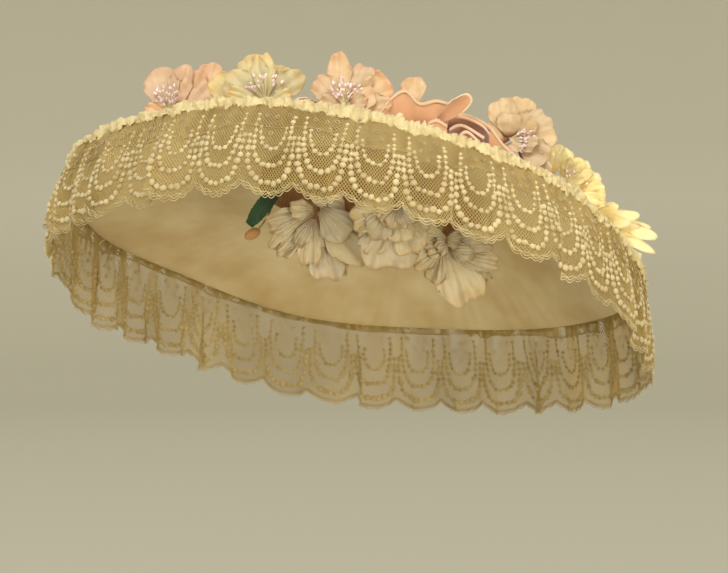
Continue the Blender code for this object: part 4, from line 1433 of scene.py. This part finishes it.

# %% [markdown]
# ## Velvet rose
# The rose is cut from velvet on the bias. A small heart of wound strips sits in the middle,
# and long bands are draped round it, whose edges are rolled outwards so that the paler wrong
# side shows as a thin line. A band is laid between two curves, given in millimetres to the
# right of, above and in front of the flower's neck. The bands inside the cup are a darker
# velvet, darkest at their foot, and this darkness is painted shade deep in the rose.

# %% Rose
STRIP_GRID = (16, 48)
STRIP_ROLL = 0.0016
STRIP_ROLL_START = 0.82
DRAPE_GRID = (18, 56)
DRAPE_ROLL = 0.0011
DRAPE_ROLL_START = 0.75
DRAPE_ROLL_TURN = 4.2


def rose_strip(inner, outer, height, span, wave, waves, seed):
    """A wound strip about +Z with a rolled upper edge."""
    t = np.linspace(0, 1, STRIP_GRID[0])[:, None]
    s = np.linspace(-1, 1, STRIP_GRID[1])[None, :]
    main = np.minimum(t / STRIP_ROLL_START, 1)
    rolled = np.clip((t - STRIP_ROLL_START) / (1 - STRIP_ROLL_START), 0, 1)
    turn = np.radians(span / 2) * s * (1 - 0.15 * (1 - main))
    ends = np.clip(1 - np.abs(s) ** 6, 0, 1)
    crest = np.sin(waves * np.pi * s + seed)
    out = inner + (outer - inner) * main**1.5 + wave * 0.5 * crest * main**2
    up = height * main**0.8 * (0.55 + 0.45 * ends)
    up = up + wave * np.cos(waves * np.pi * s * 1.3 + seed) * main**2
    out = out + STRIP_ROLL * np.sin(rolled * 3.6)
    up = up + STRIP_ROLL * (0.5 * np.sin(rolled * 3.1) - 0.55 * (1 - np.cos(rolled * 3.6)))
    points = np.stack([out * np.cos(turn), out * np.sin(turn), up + 0 * turn], axis=-1)
    return points, painting(t + 0 * s, t, seed % 1, s)


def through(points, count):
    """A smooth curve through a few points."""
    points = np.array(points, float)
    place = np.linspace(0, len(points) - 1, count)
    row = np.minimum(place.astype(int), len(points) - 2)
    t = (place - row)[:, None]
    before, at, after, beyond = (points[np.clip(row + k, 0, len(points) - 1)] for k in (-1, 0, 1, 2))
    return (2 * at + (after - before) * t + (2 * before - 5 * at + 4 * after - beyond) * t**2
            + (3 * at - before - 3 * after + beyond) * t**3) / 2


def draped(lower, upper, bulge):
    """Velvet laid between two curves, whose upper edge is rolled towards the viewer."""
    rows, columns = DRAPE_GRID
    low, high = through(lower, columns) * MM, through(upper, columns) * MM
    rise = unit(high - low)
    grid, paint = [], []
    for t in np.linspace(0, 1, rows):
        main = min(t / DRAPE_ROLL_START, 1.0)
        turn = max(0.0, t - DRAPE_ROLL_START) / (1 - DRAPE_ROLL_START) * DRAPE_ROLL_TURN
        points = low + (high - low) * main
        points[:, 2] += bulge * MM * math.sin(math.pi * main)
        points += DRAPE_ROLL * (rise * math.sin(turn) + [0, 0, 1 - math.cos(turn)])
        grid.append(points)
        paint.append(painting(main, t**0.5, 0.5, np.linspace(-1, 1, columns)))
    return np.array(grid), np.array(paint)


VELVET = {"glow": 0.06, "line_share": 0.9, "vein_share": 0.0, "roughness": 0.85}
velvet = petal_silk("rose_velvet", "#A66D4C", "#C59167", "#CA9A6F", "#F0D8B0", heart_end=0.40, sheen=0.6,
                    **VELVET)
# A darker copy of the velvet for the inside of the cup, darkest at the foot of each band: painted shade
# deep in the rose.
shaded_velvet = petal_silk("rose_velvet_inside", "#84503F", "#C4937A", "#D6A58A", "#F8E0BE", heart_end=0.55,
                         sheen=0.5, **VELVET)
HEART_WALL = 0.0009
VELVET_WALL = 0.0008
Strip = namedtuple("Strip", "start inner outer height span wave waves lift")
STRIPS = [
    Strip(100, 0.010, 0.033, 0.014, 150, 0.0040, 2.6, 0.000),
    Strip(215, 0.010, 0.034, 0.013, 150, 0.0036, 2.2, 0.000),
    Strip(335, 0.010, 0.030, 0.012, 150, 0.0030, 2.4, 0.000),
    Strip(150, 0.007, 0.023, 0.019, 190, 0.0024, 1.6, 0.001),
    Strip(320, 0.007, 0.021, 0.019, 190, 0.0020, 1.8, 0.001),
    Strip(60, 0.005, 0.012, 0.021, 260, 0.0012, 1.2, 0.002),
    Strip(230, 0.003, 0.007, 0.020, 300, 0.0006, 1.0, 0.002),
]
HEART_SCALE = 0.62
Drape = namedtuple("Drape", "lower upper bulge")
OUTER_DRAPES = [
    Drape([(-37, -2, 8), (-29, -3, 4), (-18, -5, 6), (-8, -6, 2), (2, -8, 6), (12, -8, 4)],
          [(-36, 3, 10), (-28, 15, 6), (-17, 22, -2), (-7, 13, 8), (5, 15, 0), (15, 12, 6)], 3),
    Drape([(41, -30, 8), (53, -34, 16), (67, -38, 26), (83, -43, 36)],
          [(42, -3, 10), (52, -17, 18), (67, -29, 28), (83, -36, 36)], 3),
    Drape([(-3, -8, 14), (5, -13, 16), (13, -18, 18)],
          [(-1, -1, 15), (5, 1, 14), (12, -3, 17)], 3),
    Drape([(0, -6, 8), (10, 1, 0), (23, 2, -8), (38, -4, -4), (46, -15, 5), (53, -27, 12)],
          [(0, -2, 10), (10, 5, 2), (23, 6, -6), (39, -1, -2), (48, -12, 7), (56, -23, 14)], -1),
]
INNER_DRAPES = [
    Drape([(1, -10, 6), (12, -13, -4), (23, -19, -8), (36, -24, -4), (48, -29, 6)],
          [(1, -4, 11), (10, 3, 3), (23, 4, -5), (38, -3, -1), (45, -15, 9)], -7),
    Drape([(11, -16, 4), (22, -20, 2), (34, -26, 6)],
          [(14, -5, 6), (23, -2, 0), (38, -11, 8)], -4),
    Drape([(16, -19, 8), (26, -23, 6), (37, -28, 10)],
          [(20, -10, 9), (27, -7, 5), (39, -19, 12)], -2),
]
Scrap = namedtuple("Scrap", "angle length width right up near")
SCRAPS = [Scrap(52, 32, 13, 4, -1, 6), Scrap(-84, 20, 10, -75, 12, -2)]


def add_velvet(name, sewing, place, finish, wall, *nodes):
    """One part of the rose."""
    mesh = sewing.mesh("rose_" + name, place)
    solidify(add_piece("rose_velvet_" + name, mesh, finish, "velvet_rose", *nodes), wall)


row = next(row for row in WREATH if row.form == "rose")
_, _, place, _ = wreath_place(row)
heart, bands, cup = Sewing(), Sewing(), Sewing()
for number, strip in enumerate(STRIPS):
    points, paint = rose_strip(*strip[1:-1], 1.7 * number)
    heart.add(spun(points, strip.start, 0.0, strip.lift), paint)
sunk = Matrix.Translation(-toward_camera * 0.008 - UP * 0.006)
add_velvet("heart", heart, sunk @ place @ Matrix.Scale(HEART_SCALE, 4), velvet, HEART_WALL, "rose_velvet")
flat_place = picture_place(place.translation, 0)
for drape in OUTER_DRAPES:
    bands.add(*draped(*drape))
for scrap in SCRAPS:
    points, paint = petal(scrap.length * MM, scrap.width * MM, 14, -10, 2.3, 0.30, 0.0006, 1.0,
                          claw=0.3, frill=0.0, grid=(17, 19))
    bands.add(spun(points, 90 - scrap.angle) + [scrap.right * MM, scrap.up * MM, scrap.near * MM], paint)
add_velvet("bands", bands, flat_place, velvet, VELVET_WALL)
for drape in INNER_DRAPES:
    cup.add(*draped(*drape))
add_velvet("cup", cup, flat_place, shaded_velvet, VELVET_WALL)
print("rose strips:", len(STRIPS), "drapes:", len(OUTER_DRAPES) + len(INNER_DRAPES))

# %% [markdown]
# ## Stamens and stems
# Stamens are waxed threads dipped in paste, so each ends in a small pale bead. They stand in
# a loose sheaf in the heart. Stems are wire wrapped in faded green tape, set into the frame.

# %% Stamens
STAMENS = {"blossom": 24, "double": 20}
Sheaf = namedtuple("Sheaf", "right up angle spread count shortest longest")
SHEAVES = {
    "blossom_pink_back_left": Sheaf(-13, 0, -18, 42, 44, 8, 19),
    "blossom_cream_back": Sheaf(4, 0, 0, 72, 30, 8, 17),
    "blossom_peach_back": Sheaf(-4, -2, 0, 58, 44, 5, 16),
    "blossom_apple_right": Sheaf(-2, 4, 112, 46, 50, 6, 17),
    "blossom_yellow_right": Sheaf(4, -6, 30, 60, 10, 6, 12),
    "daisy_yellow": Sheaf(-14, 3, 80, 60, 14, 5, 9),
}
STAMEN_THREAD = 0.00022
BEAD = (0.0019, 0.0019, 0.0031)
STEM_RADIUS = 0.0021
waxed, *_ = painted("waxed_thread", "#E8D9B4", 0.5)
paste, _, shader, _ = dyed("starch_paste_beads", "#F4E8E4", "#DCC0C2", 8, 0.35)
shader.inputs["Coat Weight"].default_value = 0.3
tape, *_ = dyed("faded_stem_tape", "#B4B184", "#8E8F5E", 6, 0.8)

stamen_lines, bead_points, bead_axes = [], [], []
luck = np.random.default_rng(31)
for row in WREATH:
    sheaf = SHEAVES.get(row.name)
    place = picture_place(necks[row.name], RISE[row.name]) if sheaf else wreath_place(row)[2]
    turn_only = place.to_3x3()
    for _ in range(sheaf.count if sheaf else STAMENS.get(row.form, 0)):
        if sheaf:
            angle = np.radians(90 - sheaf.angle + luck.uniform(-1, 1) * sheaf.spread)
            tilt = np.radians(luck.uniform(35, 70))
            length = luck.uniform(sheaf.shortest, sheaf.longest) * MM
            foot = Vector((sheaf.right * MM, sheaf.up * MM, 0.001))
        else:
            angle, tilt = luck.uniform(0, 2 * np.pi), np.radians(luck.uniform(4, 44))
            length = luck.uniform(0.011, 0.0165)
            foot = Vector((0, 0, 0))
        way = Vector((math.cos(angle) * math.sin(tilt), math.sin(angle) * math.sin(tilt), math.cos(tilt)))
        root = foot + Vector((math.cos(angle), math.sin(angle), 0)) * 0.0012
        bow = Vector((way.x, way.y, 0)) * 0.10
        line = [root + way * length * t + bow * length * t * t for t in (0, 0.4, 0.75, 1.0)]
        stamen_lines.append([place @ p for p in line])
        bead_points.append(place @ line[-1])
        bead_axes.append((turn_only @ way).normalized())
add_threads("stamen_threads", stamen_lines, STAMEN_THREAD, 4, waxed, "silk_cream")
facing = np.array(bead_axes)
side = unit(np.cross(facing, [0.3, 0.5, 0.8]))
size = luck.uniform(0.8, 1.15, (len(facing), 1)) * BEAD
beads_mesh = sewn("stamen_beads", bead_points, facing, side, size, ball_mesh("bead", 8, 6), paste)
add_piece("stamen_beads", beads_mesh, None, "silk_cream")
add_threads("flower_stems", stem_lines, STEM_RADIUS, 10, tape, "leaf_green")
print("stamens:", len(stamen_lines))

# %% [markdown]
# ## Leaf
# One leaf of waxed cotton stands out beside the left flower, folded along its midrib. Its wax
# gives it a dull shine that the silk doesn't have.

# %% Leaf
LEAF_LENGTH = 0.033
LEAF_WIDTH = 0.0112
LEAF_WALL = 0.0006
LEAF_GRID = (25, 13)
LEAF_STEM = 0.0008
BUD_STEM = 0.0006
STEM_STEPS = 9
LEAF_FOLD = 0.55
LEAF_SAG = 0.10
LEAF_FOOT = Vector((-0.0280, 0.0060, -0.002))
LEAF_HEADING = (-0.67, -0.74, 0.10)
BUD_PLACE = Vector((-0.0480, -0.0280, -0.008))
BUD_SIZE = (0.0125, 0.0078, 0.0065)

leaf_wax, tree, shader = painted("waxed_leaf", "#2F5A34", 0.45)
given = add_node(tree, "ShaderNodeAttribute", attribute_name="petal")
parts = add_node(tree, "ShaderNodeSeparateColor", {"Color": given.outputs["Color"]})
ramp = add_node(tree, "ShaderNodeValToRGB", {"Fac": parts.outputs["Red"]})
ramp.color_ramp.elements[0].color = linear("#15260F")
ramp.color_ramp.elements[1].color = linear("#264E2A")
ramp.color_ramp.elements[0].position, ramp.color_ramp.elements[1].position = 0.30, 0.62
tree.links.new(ramp.outputs["Color"], shader.inputs["Base Color"])
off = calc(tree, "ABSOLUTE", calc(tree, "SUBTRACT", given.outputs["Alpha"], 0.5))
slant = calc(tree, "MULTIPLY_ADD", off, -3.0, parts.outputs["Red"])
veins = calc(tree, "SINE", calc(tree, "MULTIPLY", slant, 50.0))
bumped(tree, shader, veins, 0.3, 0.5)

leaf_place = picture_place(necks["under_flower_left"], 0)
along = Vector(LEAF_HEADING).normalized()
across = along.cross(UP).normalized()
face = across.cross(along).normalized()
leaf_rows, leaf_paint = [], []
for t in np.linspace(0, 1, LEAF_GRID[0]):
    half = LEAF_WIDTH / 2 * (0.30 + 0.70 * math.sin(math.pi * min(t, 0.97) ** 1.2) ** 0.5)
    half *= 1 + 0.05 * math.sin(60 * t)
    spine = LEAF_FOOT + along * LEAF_LENGTH * t - Vector((0, LEAF_LENGTH * LEAF_SAG * t * t, 0))
    row, paint = [], []
    for s in np.linspace(-1, 1, LEAF_GRID[1]):
        fold = LEAF_FOLD * abs(s) * half + 0.0005 * math.sin(26 * t - 5 * abs(s)) * abs(s)
        row.append(spine + across * half * s + face * fold)
        paint.append((t, abs(s), 0.5, s * 0.5 + 0.5))
    leaf_rows.append(row)
    leaf_paint.append(paint)
blade = Sewing()
blade.add(np.array(leaf_rows), np.array(leaf_paint))
leaf_mesh = blade.mesh("leaf", leaf_place)
solidify(add_piece("leaf_green_blade", leaf_mesh, leaf_wax, "leaf_green", "leaf_green"), LEAF_WALL)

# The bud's dull brown is painted shade: it stands for a petal in shadow below the left flower.
bud_shade_silk = silk_cloth("faded_bud_silk", "#C6955F", "#AE804E")
bud_mesh = ball_mesh("bud", 16, 10)
bud_turn = Matrix.Rotation(0.5, 4, "Z") @ Matrix.Diagonal((*BUD_SIZE, 1))
bud_mesh.transform(leaf_place @ Matrix.Translation(BUD_PLACE) @ bud_turn)
add_piece("faded_bud", bud_mesh, bud_shade_silk, "silk_peach")
bud_line, leaf_line = [], []
for t in np.linspace(0, 1, STEM_STEPS):
    bow = math.sin(math.pi * t)
    bud_line.append(leaf_place @ (LEAF_FOOT + (BUD_PLACE - LEAF_FOOT) * t - Vector((0, 0.006 * bow, 0))))
    leaf_line.append(leaf_place @ (LEAF_FOOT * t + Vector((0, 0.004 * bow, -0.004 * (1 - t)))))
add_threads("bud_stem", [bud_line], BUD_STEM, 6, tape, "leaf_green")
add_threads("leaf_stem", [leaf_line], LEAF_STEM, 6, tape, "leaf_green")
print("leaf:", round(LEAF_LENGTH * 1000), "mm")

# %% [markdown]
# ## Size of the finished hat
# The box of the finished hat, without the backdrop, is printed.

# %% Finish
low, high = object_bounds()
print("visual box:", [round(v, 3) for v in (*low, *high)])
